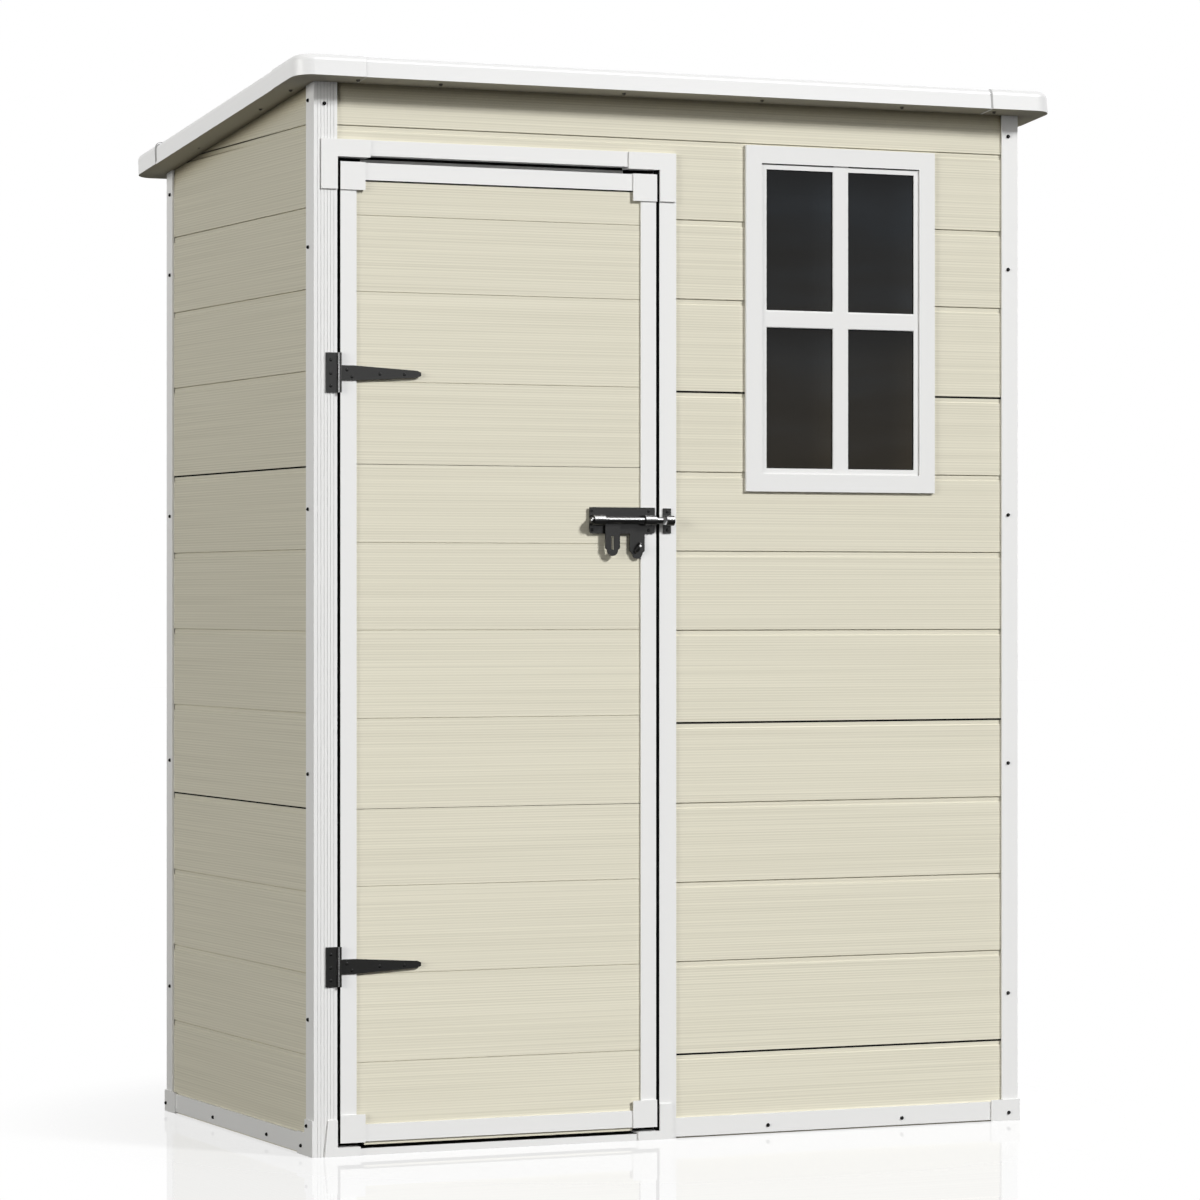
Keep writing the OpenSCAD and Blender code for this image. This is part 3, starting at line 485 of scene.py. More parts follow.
def screw_head(name, width, height):
    """Dome head along +Z with a cross recess, its rim on z = 0."""
    sunk, sides = 0.0010, 20
    bm = bmesh.new()
    profile = [(width / 2, -sunk)] + dome_profile(width, height)
    verts = [bm.verts.new((r, 0, z)) for r, z in profile]
    edges = [bm.edges.new(pair) for pair in zip(verts, verts[1:])]
    bmesh.ops.spin(bm, geom=verts + edges, axis=(0, 0, 1), cent=(0, 0, 0), angle=2 * math.pi, steps=sides,
                   use_duplicate=False)
    bmesh.ops.remove_doubles(bm, verts=bm.verts, dist=1e-6)
    bmesh.ops.holes_fill(bm, edges=[e for e in bm.edges if e.is_boundary], sides=0)
    bmesh.ops.recalc_face_normals(bm, faces=bm.faces)
    head = scene_object(name, bm)
    cutter = cross_cutter(width * 0.66, width * 0.2, height)
    cut = head.modifiers.new("Cross recess", "BOOLEAN")
    cut.operation = "DIFFERENCE"
    cut.solver = "EXACT"
    cut.object = cutter
    cut_head = head.evaluated_get(bpy.context.evaluated_depsgraph_get())
    template = bpy.data.meshes.new_from_object(cut_head)
    for piece in (head, cutter):
        bpy.data.objects.remove(piece)
    return template


def cross_cutter(span, blade, height):
    """A cross of two bars, narrower at its foot, as one closed object."""
    outline = [
        (span, blade), (blade, blade), (blade, span), (-blade, span), (-blade, blade), (-span, blade),
        (-span, -blade), (-blade, -blade), (-blade, -span), (blade, -span), (blade, -blade), (span, -blade),
    ]
    foot, rim = (0.6 * span, -0.0004), (span, height * 1.2)
    bm = bmesh.new()
    rings = [
        [bm.verts.new((*(max(-reach, min(reach, value)) / 2 for value in corner), z)) for corner in outline]
        for reach, z in (foot, rim)
    ]
    bm.faces.new(reversed(rings[0]))
    bm.faces.new(rings[1])
    join_rings(bm, rings)
    return scene_object("Cross cutter", bm)


def cap_bead(name, corner, along, inward, up, width, material):
    """Bead over a roof trim's edge, beside its cap. It runs from the underside around the face to the top."""
    height, radius, step, set_in, top_reach, steps = 0.039, 0.012, 0.0015, 0.0015, 0.030, 8
    bead, below, blunt, thin, sunk = 0.0014, 0.0004, 0.0004, 0.0001, 0.0003
    near, far = UNDERSIDE
    path = [(far, 0.0, 0.0, -1.0), (near, 0.0, 0.0, -1.0), (set_in, set_in, -1.0, 0.0)]
    arc = radius - step
    for k in range(steps + 1):
        turn = math.pi / 2 * k / steps
        path.append((radius - arc * math.cos(turn), height - radius + arc * math.sin(turn),
                     -math.cos(turn), math.sin(turn)))
    path.append((top_reach, height - step, 0.0, 1.0))
    bm = bmesh.new()
    rings = []
    for reach, rise, out_in, out_up in path:
        base = corner + inward * reach + up * rise
        out = inward * out_in + up * out_up
        lift = below if out_up < 0 else bead
        section = ((0, -sunk), (0, lift), (blunt, lift), (width, thin), (width, -sunk))
        rings.append([bm.verts.new(base + along * a + out * b) for a, b in section])
    closed_run(bm, rings)
    return linked_piece(name, bm, "root", material)


def rim(bm, low, high, section):
    """A lip around the inside of an upright opening. Section points are (inwards, to the front)."""
    rings = []
    for x, inward_x, z, inward_z in (
        (low.x, 1, low.z, 1), (high.x, -1, low.z, 1), (high.x, -1, high.z, -1), (low.x, 1, high.z, -1),
    ):
        rings.append([
            bm.verts.new((x + inward_x * inward, low.y - front, z + inward_z * inward))
            for inward, front in section
        ])
    join_rings(bm, rings + rings[:1])


def lip_section(width, height):
    """Flat seal with a rounded lip along its front edge."""
    return [
        (0.0008, 0), (width, 0), (width, height * 0.7), (0.0040, height * 0.7), (0.0032, height),
        (0.0016, height), (0.0008, height * 0.6),
    ]


def joint_strip(face, lap):
    """Section of a joint's strip, (inwards, down) from the upper panel's edge. Its face laps over both."""
    inner, foot = 0.0050, 0.0029
    return [
        (face, -lap), (face + 0.0006, 0.0002), (inner, 0.0002), (inner, foot), (face + 0.0006, foot),
        (face, foot + lap),
    ]


# ---- Screw places ----

def post_screw_places():
    """Screws in the corner posts: on the front, on both sides and on the back."""
    left_x, right_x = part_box("door_post")[0].x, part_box("front_right_post")[1].x
    front_y, back_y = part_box("door_post")[0].y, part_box("back_left_post")[1].y
    heights, front_top, back_top = (0.239, 0.669, 1.133, 1.592), 1.841, 1.745
    left_top, side_top = front_top + 0.001, front_top + 0.008
    inset, left_inset, side_inset = 0.0205, 0.0194, 0.028
    places = [(Vector((right_x - inset, front_y, z)), FRONT) for z in (*heights, front_top)]
    places.append((Vector((left_x + left_inset, front_y, left_top)), FRONT))
    for z in (*heights, side_top):
        places.append((Vector((left_x, front_y + side_inset, z)), LEFT))
        places.append((Vector((right_x, front_y + inset, min(z, front_top))), RIGHT))
    for z in (*heights, back_top):
        places.append((Vector((left_x, back_y - inset, z)), LEFT))
        places.append((Vector((right_x, back_y - inset, z)), RIGHT))
        places.append((Vector((left_x + inset, back_y, z)), BACK))
        places.append((Vector((right_x - inset, back_y, z)), BACK))
    return places


def base_screw_places():
    """Screws in the base rails and in the corner pieces at the posts' feet."""
    low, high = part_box("base_corners")
    rail_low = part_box("front_base_rail")[0]
    left_x, right_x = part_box("left_base_rail")[0].x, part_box("right_base_rail")[1].x
    front_y, back_y = rail_low.y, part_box("back_base_rail")[1].y
    front_steps, side_steps, back_steps = (0.185, 0.461), (0.240, 0.532), (0.30, 0.70, 1.10)
    z, upper_z = 0.0155, 0.053
    inset, back_inset, upper_inset, left_inset = 0.0205, 0.0205 / 3.5, 0.028, 0.056
    places = [(Vector((right_x - inset, low.y, z)), FRONT)]
    places += [(Vector((rail_low.x + step, front_y, z)), FRONT) for step in front_steps]
    places += [(Vector((left_x + step, back_y, z)), BACK) for step in back_steps]
    for x, outward in ((left_x, LEFT), (right_x, RIGHT)):
        places += [(Vector((x, front_y + step, z)), outward) for step in side_steps]
    for x, outward in ((low.x, LEFT), (high.x, RIGHT)):
        places.append((Vector((x, back_y - back_inset, z)), outward))
    places.append((Vector((low.x, front_y + upper_inset, upper_z)), LEFT))
    places.append((Vector((low.x, front_y + left_inset, z)), LEFT))
    places.append((Vector((high.x, front_y + inset, z)), RIGHT))
    for x in (left_x + inset, right_x - inset):
        places.append((Vector((x, high.y, z)), BACK))
    return places


def eaves_screw_places():
    """Screws up into the underside of the roof's edge, all around the walls."""
    left_x, right_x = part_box("door_post")[0].x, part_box("front_right_post")[1].x
    front_z, front_y, back_y, fall = wall_slope()
    down = Vector((0, -fall, -1)).normalized()
    out, side_out = 0.025, 0.025 / 1.6
    front_steps, side_steps = (0.073, 0.229, 0.583, 0.859, 1.146, 1.340), (0.075, 0.231, 0.568, 0.742)

    def under(x, y):
        return Vector((x, y, front_z - fall * (y - front_y))), down

    places = [under(left_x + step, y) for y in (front_y - out, back_y + out) for step in front_steps]
    for x in (left_x - side_out, right_x + side_out):
        places += [under(x, front_y + step) for step in side_steps]
    return places


def plate_places(spots, y, heights):
    """Places of screws on a front face, from spots of (place across, rise above each height)."""
    return [(Vector((x, y, z + up)), FRONT) for z in heights for x, up in spots]


def hinge_middles():
    """Heights of the two hinges' middles, lower one first."""
    low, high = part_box("hinge_plates")
    half = 0.035
    return low.z + half, high.z - half


def plate_screw_places():
    """Three screws down each hinge plate."""
    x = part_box("hinge_plates")[0].x + 0.0085
    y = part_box("door_post")[0].y - PLATE
    return plate_places([(x, up) for up in (0.0222, -0.0015, -0.0235)], y, hinge_middles())


def strap_screw_places():
    """Four screws along each strap, two of them side by side near its root."""
    low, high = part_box("hinge_straps")
    steps = ((0.0177, 0.0052), (0.0270, -0.0068), (0.0796, -0.001), (0.1258, -0.001))
    return plate_places([(low.x + along, up) for along, up in steps], high.y - PLATE, hinge_middles())


def keeper_middle():
    low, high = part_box("keeper")
    return (low + high) / 2


def bolt_screw_places():
    """A screw in each corner of the bolt's back plate."""
    low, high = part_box("bolt_plate")
    left_inset, right_inset = 0.0045, 0.0125
    corners = [(x, up) for x in (low.x + left_inset, high.x - right_inset) for up in (0.0170, -0.0175)]
    return plate_places(corners, high.y - PLATE, [keeper_middle().z])


def keeper_screw_places():
    """A screw in each foot of the keeper."""
    low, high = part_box("keeper")
    middle = keeper_middle()
    reach = (high.z - low.z) / 2 - 0.006
    return plate_places([(middle.x, reach), (middle.x, -reach)], high.y - PLATE, [middle.z])


# ---- Operators ----

class SHED_OT_board_panels(bpy.types.Operator):
    """Finishes the wall and door panels in beige board plastic"""
    bl_idname = "shed.board_panels"
    bl_label = "Board panels"

    def execute(self, context):
        finish_nodes(BOARD_NODES, board_plastic(context.scene.shed_colours))
        return {"FINISHED"}


class SHED_OT_trims(bpy.types.Operator):
    """Finishes the posts, rails, caps and door frame in white plastic"""
    bl_idname = "shed.trims"
    bl_label = "Posts and trims"

    def execute(self, context):
        colour = context.scene.shed_colours.trim
        finish_nodes(TRIM_NODES, smooth_plastic("Trim plastic", colour, 0.42, gloss=0.85, most=0.3))
        return {"FINISHED"}


class SHED_OT_roof(bpy.types.Operator):
    """Finishes the roof panel, its edge trims and corner caps, duller on top and underneath, and darker and
    beige underneath in painted shade
    """
    bl_idname = "shed.roof"
    bl_label = "Roof"

    def execute(self, context):
        colours = context.scene.shed_colours
        finish_nodes(ROOF_NODES, smooth_plastic("Roof plastic", colours.roof, 0.38))
        # Painted shade: the faces facing down take a darker beige copy of the roof plastic, with full painted
        # shade under the eaves
        underside = smooth_plastic(
            "Roof underside in painted shade", colours.underside, 0.8, gloss=0.05, most=1.0, tint=PAINTED_SHADE_TINT)
        top = smooth_plastic("Roof top", colours.roof, 0.75, gloss=0.1)
        up = roof_slope()[2]
        for name in ROOF_NODES:
            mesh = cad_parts[name].data
            mesh.materials.append(underside)
            mesh.materials.append(top)
            for face in mesh.polygons:
                level = face.normal.dot(up)
                if abs(level) > ALIGNED:
                    face.material_index = 1 if level < 0 else 2
        return {"FINISHED"}


class SHED_OT_window(bpy.types.Operator):
    """Finishes the window's frame and sash, and its tinted panes"""
    bl_idname = "shed.window"
    bl_label = "Window"

    def execute(self, context):
        colours = context.scene.shed_colours
        finish_nodes(WINDOW_FRAME_NODES, smooth_plastic("Window plastic", colours.trim, 0.38))
        finish_nodes(["window_glass"], tinted_pane(colours))
        return {"FINISHED"}


class SHED_OT_ironwork(bpy.types.Operator):
    """Finishes the hinges, the bolt, its hasp and the keeper"""
    bl_idname = "shed.ironwork"
    bl_label = "Ironwork"

    def execute(self, context):
        colours = context.scene.shed_colours
        finish_nodes(IRONWORK_NODES, satin_black("Satin black ironwork", colours.ironwork, 0.22, 0.5))
        finish_nodes(["bolt_rod"], polished_rod(colours))
        return {"FINISHED"}


class SHED_OT_frame_screws(bpy.types.Operator):
    """Adds the dome-head screws in the posts, the base and the eaves"""
    bl_idname = "shed.frame_screws"
    bl_label = "Frame screws"

    def execute(self, context):
        sizes, colours = context.scene.shed_fixings, context.scene.shed_colours
        black = satin_black("Black screws", colours.screw, 0.4, 0.12)
        head = screw_head("Frame screw head", sizes.head_width, sizes.head_height)
        dusty = satin_black("Dusty screws", colours.dusty_screw, 0.8, 0.05)
        groups = (
            ("post_screws", post_screw_places(), black),
            ("base_screws", base_screw_places(), black),
            ("eaves_screws", eaves_screw_places(), dusty),
        )
        for name, places, material in groups:
            joined_copies(name, head, places, "root", material)
        return {"FINISHED"}


class SHED_OT_ironwork_screws(bpy.types.Operator):
    """Adds the low screws in the hinges, the bolt's plate and the keeper"""
    bl_idname = "shed.ironwork_screws"
    bl_label = "Ironwork screws"

    def execute(self, context):
        sizes = context.scene.shed_fixings
        material = satin_black("Ironwork screws", context.scene.shed_colours.screw, 0.35, 0.2)
        head = screw_head("Ironwork screw head", sizes.iron_head_width, sizes.iron_head_height)
        groups = (
            ("hinge_plate_screws", plate_screw_places(), "root"),
            ("hinge_strap_screws", strap_screw_places(), "door"),
            ("bolt_screws", bolt_screw_places(), "door"),
            ("keeper_screws", keeper_screw_places(), "root"),
        )
        for name, places, body in groups:
            joined_copies(name, head, places, body, material)
        return {"FINISHED"}


class SHED_OT_cap_beads(bpy.types.Operator):
    """Adds the beads between the roof's edge trims and its corner caps, and the lips under the wide ones"""
    bl_idname = "shed.cap_beads"
    bl_label = "Roof cap beads in painted shade"

    def execute(self, context):
        colours = context.scene.shed_colours
        narrow = (0.0018, smooth_plastic("Cap beads", colours.roof, 0.5))
        # Painted shade: the wide beads take a darker grey than the roof, standing in for the shade on the
        # caps' unlit edges
        wide = (0.0040, smooth_plastic("Wide cap beads in painted shade", colours.cap_bead, 0.5))
        start, back, up = roof_slope()
        caps_low, caps_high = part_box("roof_corner_caps")
        front_low, front_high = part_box("front_roof_trim")
        cap_rise = 0.0375
        length = (caps_high.y - caps_low.y - cap_rise * up.y) / back.y
        cap_length = (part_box("left_roof_trim")[0].y - caps_low.y) / back.y
        left, right = start + RIGHT * (front_low.x - caps_low.x), start + RIGHT * (front_high.x - caps_low.x)
        end = start + RIGHT * (caps_high.x - caps_low.x)
        near, far = back * cap_length, back * (length - cap_length)
        runs = (
            ("front_left", left, RIGHT, back, narrow),
            ("front_right", right, LEFT, back, wide),
            ("back_left", left + back * length, RIGHT, -back, narrow),
            ("back_right", right + back * length, LEFT, -back, wide),
            ("left_front", start + near, back, RIGHT, narrow),
            ("left_back", start + far, -back, RIGHT, wide),
            ("right_front", end + near, back, LEFT, narrow),
            ("right_back", end + far, -back, LEFT, wide),
        )
        for name, corner, along, inward, (width, material) in runs:
            cap_bead("cap_bead_" + name, corner, along, inward, up, width, material)
        lip = [(0, 0), (0.0022, 0), (0.0018, 0.0012), (0.0004, 0.0012)]
        pale = smooth_plastic("Underside lips", colours.trim, 0.5, most=0.0)
        for name, corner, along, inward, kind in runs:
            if kind is wide:
                run = [corner + inward * reach for reach in UNDERSIDE]
                extrusion("underside_lip_" + name, lip, run, along, -up, "root", pale)
        return {"FINISHED"}


class SHED_OT_seals(bpy.types.Operator):
    """Adds the black rubber seals around the door, over its panel and on the threshold, which stand in as
    painted shade for the dark gaps there, blackens the left door caps' end faces as painted shade, and adds
    the lip under its foot
    """
    bl_idname = "shed.seals"
    bl_label = "Door seals"

    def execute(self, context):
        sizes, colours = context.scene.shed_fixings, context.scene.shed_colours
        rubber = black_rubber_and_painted_shade(colours)
        section = lip_section(sizes.seal_width, sizes.seal_height)
        caps_low, caps_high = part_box("door_corner_caps")
        rail_low, rail_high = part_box("door_rails")
        sill_low, sill_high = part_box("threshold")
        # Painted shade: black strips along the jamb and the door's edge stand in for the shadow in the gap
        # between them
        for name, node, foot, top, body in (
            ("jamb_seal_painted_shade", "door_jamb", sill_high.z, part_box("head_rail")[0].z, "root"),
            ("door_edge_seal_painted_shade", "door_stiles", caps_low.z + CAP_HEIGHT, caps_high.z - CAP_HEIGHT, "door"),
        ):
            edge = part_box(node)[0]
            run = [Vector((edge.x, edge.y, z)) for z in (foot, top)]
            extrusion(name, section, run, BACK, LEFT, body, rubber)
        # Painted shade: the black sweep stands in for the dark gap under the door's bottom rail
        sweep = [(0.0095, 0), (0.0095, 0.0055), (0.0100, 0.0062), (0.0115, 0.0062), (0.0125, 0)]
        extrusion("door_sweep_painted_shade", sweep, level_run(rail_low.x, rail_high.x, rail_low.y, rail_low.z),
                  BACK, DOWN, "door", rubber)
        # Painted shadow: a black strip under the top rail stands in for the rail's shadow on the panel
        gasket = [(-0.0010, 0), (0.0022, 0), (0.0022, 0.0012), (0.0016, 0.0017), (-0.0010, 0.0017)]
        panel_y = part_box("door_panel_upper")[0].y
        extrusion("door_panel_gasket_painted_shadow", gasket,
                  level_run(rail_low.x, rail_high.x, panel_y, rail_high.z - RAIL_HEIGHT),
                  FRONT, DOWN, "door", rubber)
        # Painted shade: a black strip on the threshold's top stands in for the deep shade under the door
        strip = [(0.003, 0), (0.026, 0), (0.026, 0.0003), (0.025, 0.0004), (0.004, 0.0004), (0.003, 0.0003)]
        end = 0.001
        extrusion("threshold_strip_painted_shade", strip,
                  level_run(sill_low.x + end, sill_high.x - end, sill_low.y, sill_high.z),
                  BACK, UP, "root", rubber)
        drip = [(0, 0), (0, 0.0030), (0.0006, 0.0034), (0.0024, 0.0034), (0.0024, 0)]
        panel_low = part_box("door_panel_lower")[0]
        extrusion("door_drip_lip", drip,
                  level_run(caps_low.x + CAP_WIDTH, caps_high.x - CAP_WIDTH, panel_low.y, panel_low.z),
                  BACK, DOWN, "door", board_plastic(colours))
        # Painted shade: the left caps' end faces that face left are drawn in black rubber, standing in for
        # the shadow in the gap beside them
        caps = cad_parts["door_corner_caps"].data
        caps.materials.append(rubber)
        for face in caps.polygons:
            if face.normal.dot(LEFT) > ALIGNED and face.center.x < caps_low.x + end:
                face.material_index = 1
        return {"FINISHED"}


class SHED_OT_joint_seals(bpy.types.Operator):
    """Adds the dark strips inside the joints between the wall panels"""
    bl_idname = "shed.joint_seals"
    bl_label = "Panel joint seals"

    def execute(self, context):
        rubber = black_rubber_and_painted_shade(context.scene.shed_colours)
        front_strip, strip = joint_strip(0.0010, 0.0005), joint_strip(0.0030, 0.0001)
        window_low, window_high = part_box("window_frame")
        end = 0.001
        cut_left, cut_right = window_low.x + WINDOW_LAP - end, window_high.x - WINDOW_LAP + end
        for name in ("front_wall_lower", "front_wall_middle", "front_wall_upper"):
            low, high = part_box(name)
            spans = [(low.x + end, high.x - end)]
            if window_low.z < low.z:
                spans = [(low.x + end, cut_left), (cut_right, high.x - end)]
            for part, span in enumerate(spans):
                extrusion("joint_seal_%s_%d" % (name, part), front_strip, level_run(*span, low.y, low.z),
                          BACK, DOWN, "root", rubber)
        for name in ("back_wall_middle", "back_wall_upper"):
            low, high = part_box(name)
            extrusion("joint_seal_" + name, strip, level_run(low.x + end, high.x - end, high.y, low.z),
                      FRONT, DOWN, "root", rubber)
        for side, inwards in (("left", RIGHT), ("right", LEFT)):
            for name in (side + "_wall_middle", side + "_wall_upper"):
                low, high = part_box(name)
                x = low.x if side == "left" else high.x
                run = [Vector((x, y, low.z)) for y in (low.y + end, high.y - end)]
                extrusion("joint_seal_" + name, strip, run, inwards, DOWN, "root", rubber)
        return {"FINISHED"}


class SHED_OT_window_gaskets(bpy.types.Operator):
    """Adds the black gaskets around the panes, and black strips over the sash that stand in as painted shadow
    for the shadow line there
    """
    bl_idname = "shed.window_gaskets"
    bl_label = "Window gaskets"

    def execute(self, context):
        rubber = black_rubber_and_painted_shade(context.scene.shed_colours)
        window_low, window_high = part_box("window_frame")
        sash_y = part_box("window_sash")[0].y
        low, high = pane_opening()
        middle, half = (low + high) / 2, BAR_WIDTH / 2
        lip = [(-0.0010, 0), (0.0016, 0), (0.0016, 0.0014), (-0.0010, 0.0018)]
        # Painted shadow: black strips under the frame's top stand in for the shadow line over the sash
        for name, start_x, end_x in (
            ("sash_gasket_left_painted_shadow", window_low.x + WINDOW_FACE, middle.x - half),
            ("sash_gasket_right_painted_shadow", middle.x + half, window_high.x - WINDOW_FACE),
        ):
            extrusion(name, lip, level_run(start_x, end_x, sash_y, window_high.z - WINDOW_FACE),
                      FRONT, DOWN, "root", rubber)
        bm = bmesh.new()
        section = [
            (-0.0002, -0.0001), (0.0013, -0.0001), (0.0013, 0.0006), (0.0009, 0.0010), (-0.0002, 0.0010),
        ]
        for left, right in ((low.x, middle.x - half), (middle.x + half, high.x)):
            for foot, top in ((low.z, middle.z - half), (middle.z + half, high.z)):
                rim(bm, Vector((left, low.y, foot)), Vector((right, low.y, top)), section)
        bmesh.ops.recalc_face_normals(bm, faces=bm.faces)
        linked_piece("pane_gaskets", bm, "root", rubber)
        return {"FINISHED"}


class SHED_OT_head_stop(bpy.types.Operator):
    """Adds the stop behind the door's top, white between the corners, black behind them and black along its
    top, the black parts standing in as painted shade for the dark gap over the door
    """
    bl_idname = "shed.head_stop"
    bl_label = "Door head stop"

    def execute(self, context):
        colours = context.scene.shed_colours
        white, black = smooth_plastic("Door stop", colours.trim, 0.5), black_rubber_and_painted_shade(colours)
        rail_low, rail_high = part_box("head_rail")
        caps_low, caps_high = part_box("door_corner_caps")
        stile_low, stile_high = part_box("door_stiles")
        upper = [
            (-0.0003, 0), (0.010, 0), (0.010, 0.0055), (0.007, 0.0055), (0.007, 0.0015), (-0.0003, 0.0015),
        ]
        lower = [
            (0.007, 0.0055), (0.010, 0.0055), (0.010, 0.0200), (0.0092, 0.0212), (0.0078, 0.0212),
            (0.007, 0.0200),
        ]
        lap, past_cap = 0.0015, 0.004
        left, right = caps_low.x + CAP_WIDTH + past_cap, caps_high.x - CAP_WIDTH - past_cap
        # Painted shade: the black bracket and ends stand in for the shade in the gap over the door
        for name, section, start_x, end_x, material, slot in (
            ("head_stop_bracket_painted_shade", upper, stile_low.x, stile_high.x, black, "black_hardware"),
            ("head_stop_left_painted_shade", lower, stile_low.x, left, black, "black_hardware"),
            ("head_stop", lower, left, right, white, "trims"),
            ("head_stop_right_painted_shade", lower, right, stile_high.x, black, "black_hardware"),
        ):
            extrusion(name, section, level_run(start_x, end_x, rail_high.y, rail_low.z + lap), BACK, DOWN,
                      "root", material)
        return {"FINISHED"}


class SHED_OT_stage(bpy.types.Operator):
    """Adds the floor, the lamps, the even sky and the camera"""
    bl_idname = "shed.stage"
    bl_label = "Stage"

    def execute(self, context):
        stage = context.scene.shed_stage
        add_floor(stage)
        add_lamp("Main light", Vector((-0.75, 1.0, -0.83)), stage.key_strength, stage.key_angle)
        fill = add_lamp("Fill light", Vector((0.914, 0.407, -0.17)), stage.fill_strength, stage.fill_angle)
        fill.data.color = (1.0, 0.99, 0.95)
        from_left = Vector((1.0, 0.1, -0.1))
        add_lamp("Roof side light", from_left, stage.roof_side, stage.fill_angle, ROOF_NODES)
        add_lamp("Trim side light", from_left, stage.trim_side, stage.fill_angle, TRIM_NODES)
        add_gloss_lights(stage)
        set_sky(stage)
        add_camera(stage)
        context.scene.view_settings.view_transform = "Standard"
        return {"FINISHED"}


def background_ray(tree, names):
    """1 for the rays named, which show the background, and 0 for those that light the shed."""
    path = tree.nodes.new("ShaderNodeLightPath")
    total = path.outputs[names[0]]
    for name in names[1:]:
        total = calculate(tree, "MAXIMUM", total, path.outputs[name])
    return total


def set_sky(stage):
    """Faint even light from the front and more from the back, with plain white behind the shed."""
    world = bpy.data.worlds.new("Studio")
    bpy.context.scene.world = world
    world.use_nodes = True
    tree = world.node_tree
    light = tree.nodes["Background"]
    coordinates = add_node(tree, "TexCoord")
    backwards = measure(tree, "DOT_PRODUCT", coordinates.outputs["Generated"], (0.6, 0.8, -0.2))
    fill(tree, light.inputs["Color"], WHITE)
    fill(tree, light.inputs["Strength"], spread(tree, backwards, -0.1, 0.7, stage.sky_front, stage.sky_back))
    white = add_node(tree, "Background", {"Color": WHITE})
    shown = background_ray(tree, ("Is Camera Ray", "Is Glossy Ray", "Is Transmission Ray"))
    sky = mix_shaders(tree, shown, light.outputs["Background"], white.outputs["Background"])
    tree.links.new(sky, tree.nodes["World Output"].inputs["Surface"])


def floor_material(stage):
    """White floor with a faint mirror image and a soft shadow near the shed, and dark inside it."""
    material = bpy.data.materials.new("Studio floor")
    material.use_nodes = True
    tree = material.node_tree
    tree.nodes.clear()

    def shader(kind, colour, **inputs):
        return add_node(tree, kind, {"Color": colour, **inputs}).outputs[0]

    place = add_node(tree, "TexCoord").outputs["Object"]
    near_edge, far_edge, inset = 0.8, 1.2, 0.012
    near = spread(tree, measure(tree, "LENGTH", place), far_edge, near_edge, 0.0, stage.shade,
                  interpolation_type="SMOOTHSTEP")
    low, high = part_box("door_post")[0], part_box("back_right_post")[1]
    beyond = [
        calculate(tree, "SUBTRACT", calculate(tree, "ABSOLUTE", axis_of(tree, place, axis)), edge - inset)
        for axis, edge in (("X", high.x), ("Y", -low.y))
    ]
    indoors = calculate(tree, "LESS_THAN", calculate(tree, "MAXIMUM", *beyond), 0.0)
    white = shader("Emission", WHITE, Strength=1.0)
    lit = shader("BsdfDiffuse", (0.98, 0.98, 0.98))
    plain = shader("BsdfDiffuse", (0.10, 0.10, 0.10))
    inside = shader("BsdfDiffuse", (0.35, 0.34, 0.32))
    mirror = shader("BsdfGlossy", WHITE, Roughness=0.0)
    outdoors = mix_shaders(tree, stage.gloss, mix_shaders(tree, near, white, lit), mirror)
    shown = mix_shaders(tree, indoors, outdoors, inside)
    seen = mix_shaders(tree, background_ray(tree, ("Is Camera Ray",)), plain, shown)
    tree.links.new(seen, tree.nodes.new("ShaderNodeOutputMaterial").inputs["Surface"])
    return material


def add_floor(stage):
    bm = bmesh.new()
    bmesh.ops.create_grid(bm, x_segments=1, y_segments=1, size=40)
    floor = scene_object("floor", bm)
    floor.data.materials.append(floor_material(stage))
    floor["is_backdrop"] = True


def add_lamp(name, travel, strength, angle, nodes=()):
    """A far lamp whose light travels along the direction given, on all of the shed or on some CAD nodes."""
    lamp = bpy.data.lights.new(name, "SUN")
    lamp.energy = strength
    lamp.angle = angle
    sun = bpy.data.objects.new(name, lamp)
    sun.rotation_euler = travel.to_track_quat("-Z", "Y").to_euler()
    if nodes:
        sun.light_linking.receiver_collection = node_collection(name, nodes)
    bpy.context.scene.collection.objects.link(sun)
    return sun


def node_collection(name, nodes):
    """A collection of CAD nodes, to link a lamp to."""
    collection = bpy.data.collections.new(name)
    for node in nodes:
        collection.objects.link(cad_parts[node])
    return collection


def add_gloss_lights(stage):
    """Two soft boxes that only give the ironwork its highlights: a long one overhead and one at the left."""
    ironwork = node_collection("Ironwork", (*IRONWORK_NODES, "bolt_rod"))
    bolt = (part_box("bolt_plate")[0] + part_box("bolt_plate")[1]) / 2
    boxes = (
        ("Overhead box", Vector((0.41, -0.31, 0.86)), 7.0, (4.0, 15.0), stage.overhead_box),
        ("Side box", Vector((-0.90, -0.44, 0.0)), 5.0, (2.2, 4.0), stage.side_box),
    )
    for name, direction, distance, size, radiance in boxes:
        lamp = bpy.data.lights.new(name, "AREA")
        lamp.shape = "RECTANGLE"
        lamp.size, lamp.size_y = size
        lamp.energy = radiance * math.pi * size[0] * size[1]
        box = bpy.data.objects.new(name, lamp)
        box.location = bolt + direction * distance
        box.rotation_euler = direction.to_track_quat("Z", "Y").to_euler()
        box.visible_camera = False
        box.visible_diffuse = False
        box.light_linking.receiver_collection = ironwork
        box.light_linking.blocker_collection = ironwork
        bpy.context.scene.collection.objects.link(box)


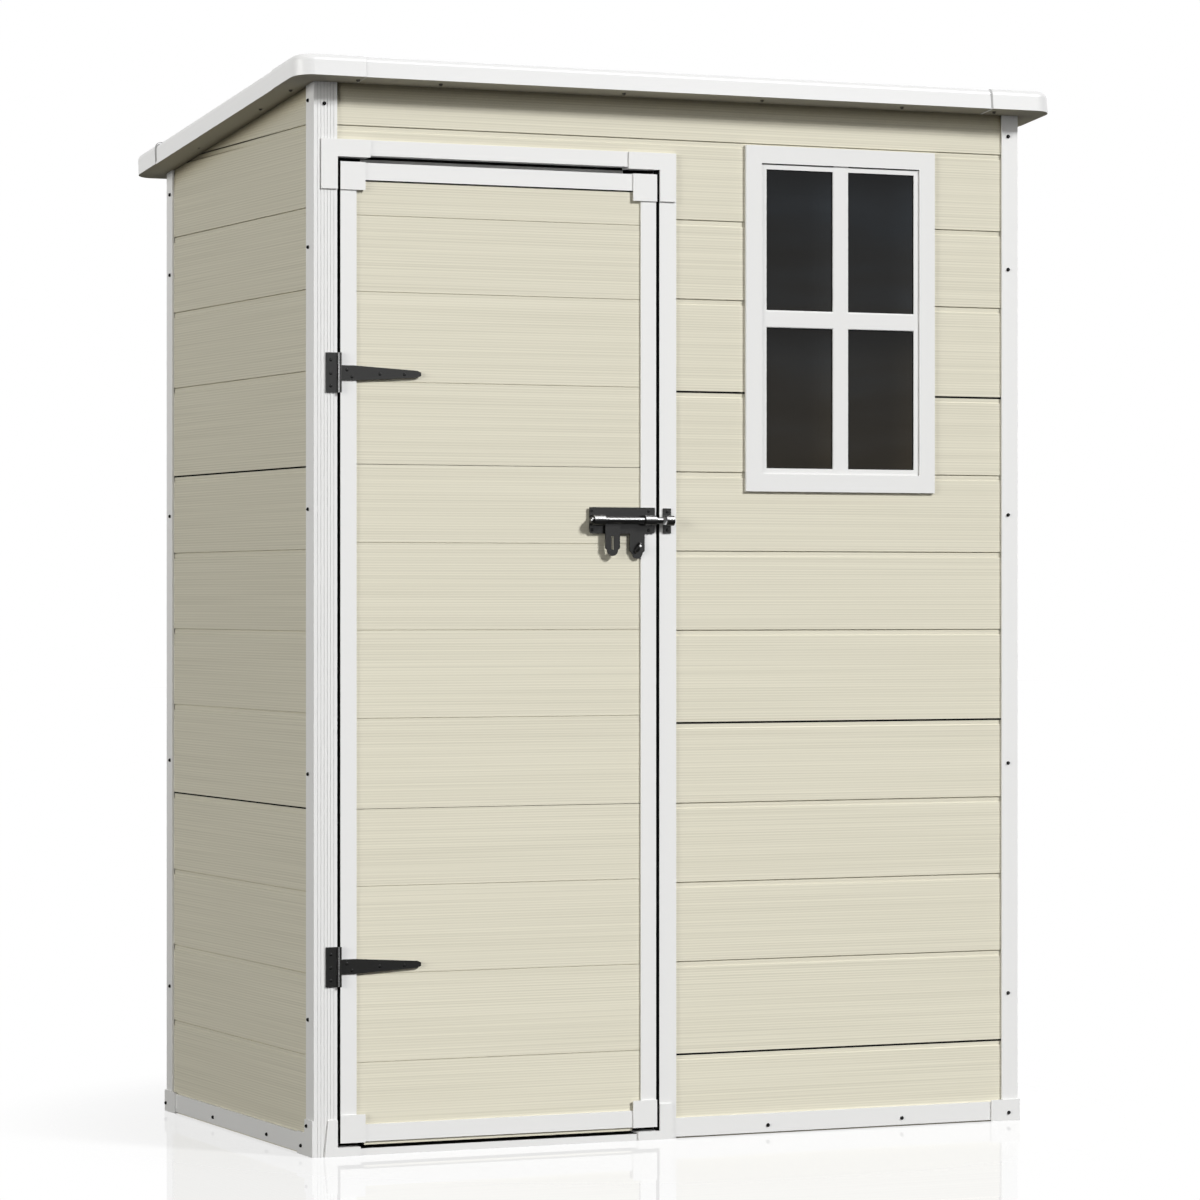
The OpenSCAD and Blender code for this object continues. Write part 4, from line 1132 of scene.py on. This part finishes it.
def add_camera(stage):
    """Level camera, turned towards the shed's left side."""
    camera = bpy.data.objects.new("Camera", bpy.data.cameras.new("Camera"))
    camera.data.lens = stage.lens
    camera.data.sensor_width = 36
    camera.data.shift_y = -0.0009
    ahead = Vector((math.sin(stage.turn), math.cos(stage.turn), 0))
    camera.location = Vector((stage.aim_x, 0, stage.eye_height)) - ahead * stage.distance
    camera.rotation_euler = ahead.to_track_quat("-Z", "Y").to_euler()
    bpy.context.scene.collection.objects.link(camera)
    bpy.context.scene.camera = camera


class SHED_PT_panel(bpy.types.Panel):
    """The shed's parts, in the order in which they are made"""
    bl_idname = "SHED_PT_panel"
    bl_label = "Resin garden shed"
    bl_space_type = "VIEW_3D"
    bl_region_type = "UI"
    bl_category = "Shed"

    def draw(self, context):
        scene = context.scene
        for group in (scene.shed_colours, scene.shed_fixings, scene.shed_stage):
            for name in group.bl_rna.properties.keys():
                if name not in {"rna_type", "name"}:
                    self.layout.prop(group, name)
        for operator in OPERATORS:
            self.layout.operator(operator.bl_idname)


OPERATORS = (
    SHED_OT_board_panels,
    SHED_OT_trims,
    SHED_OT_roof,
    SHED_OT_window,
    SHED_OT_ironwork,
    SHED_OT_frame_screws,
    SHED_OT_ironwork_screws,
    SHED_OT_cap_beads,
    SHED_OT_seals,
    SHED_OT_joint_seals,
    SHED_OT_window_gaskets,
    SHED_OT_head_stop,
    SHED_OT_stage,
)
SETTINGS = (
    ("shed_colours", ShedColours),
    ("shed_fixings", ShedFixings),
    ("shed_stage", ShedStage),
)


def register():
    for name, group in SETTINGS:
        bpy.utils.register_class(group)
        setattr(bpy.types.Scene, name, bpy.props.PointerProperty(type=group))
    for operator in OPERATORS:
        bpy.utils.register_class(operator)
    bpy.utils.register_class(SHED_PT_panel)


def unregister():
    bpy.utils.unregister_class(SHED_PT_panel)
    for operator in reversed(OPERATORS):
        bpy.utils.unregister_class(operator)
    for name, group in reversed(SETTINGS):
        delattr(bpy.types.Scene, name)
        bpy.utils.unregister_class(group)


def corners(bounds):
    """Two corners as plain lists of numbers."""
    return [[float(value) for value in corner] for corner in bounds]


def main():
    register()
    bpy.ops.shed.board_panels()
    bpy.ops.shed.trims()
    bpy.ops.shed.roof()
    bpy.ops.shed.window()
    bpy.ops.shed.ironwork()
    bpy.ops.shed.frame_screws()
    bpy.ops.shed.ironwork_screws()
    bpy.ops.shed.cap_beads()
    bpy.ops.shed.seals()
    bpy.ops.shed.joint_seals()
    bpy.ops.shed.window_gaskets()
    bpy.ops.shed.head_stop()
    bpy.ops.shed.stage()
    {"cad": corners(cad_bounds), "visual": corners(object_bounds())}


if __name__ == "__main__":
    main()
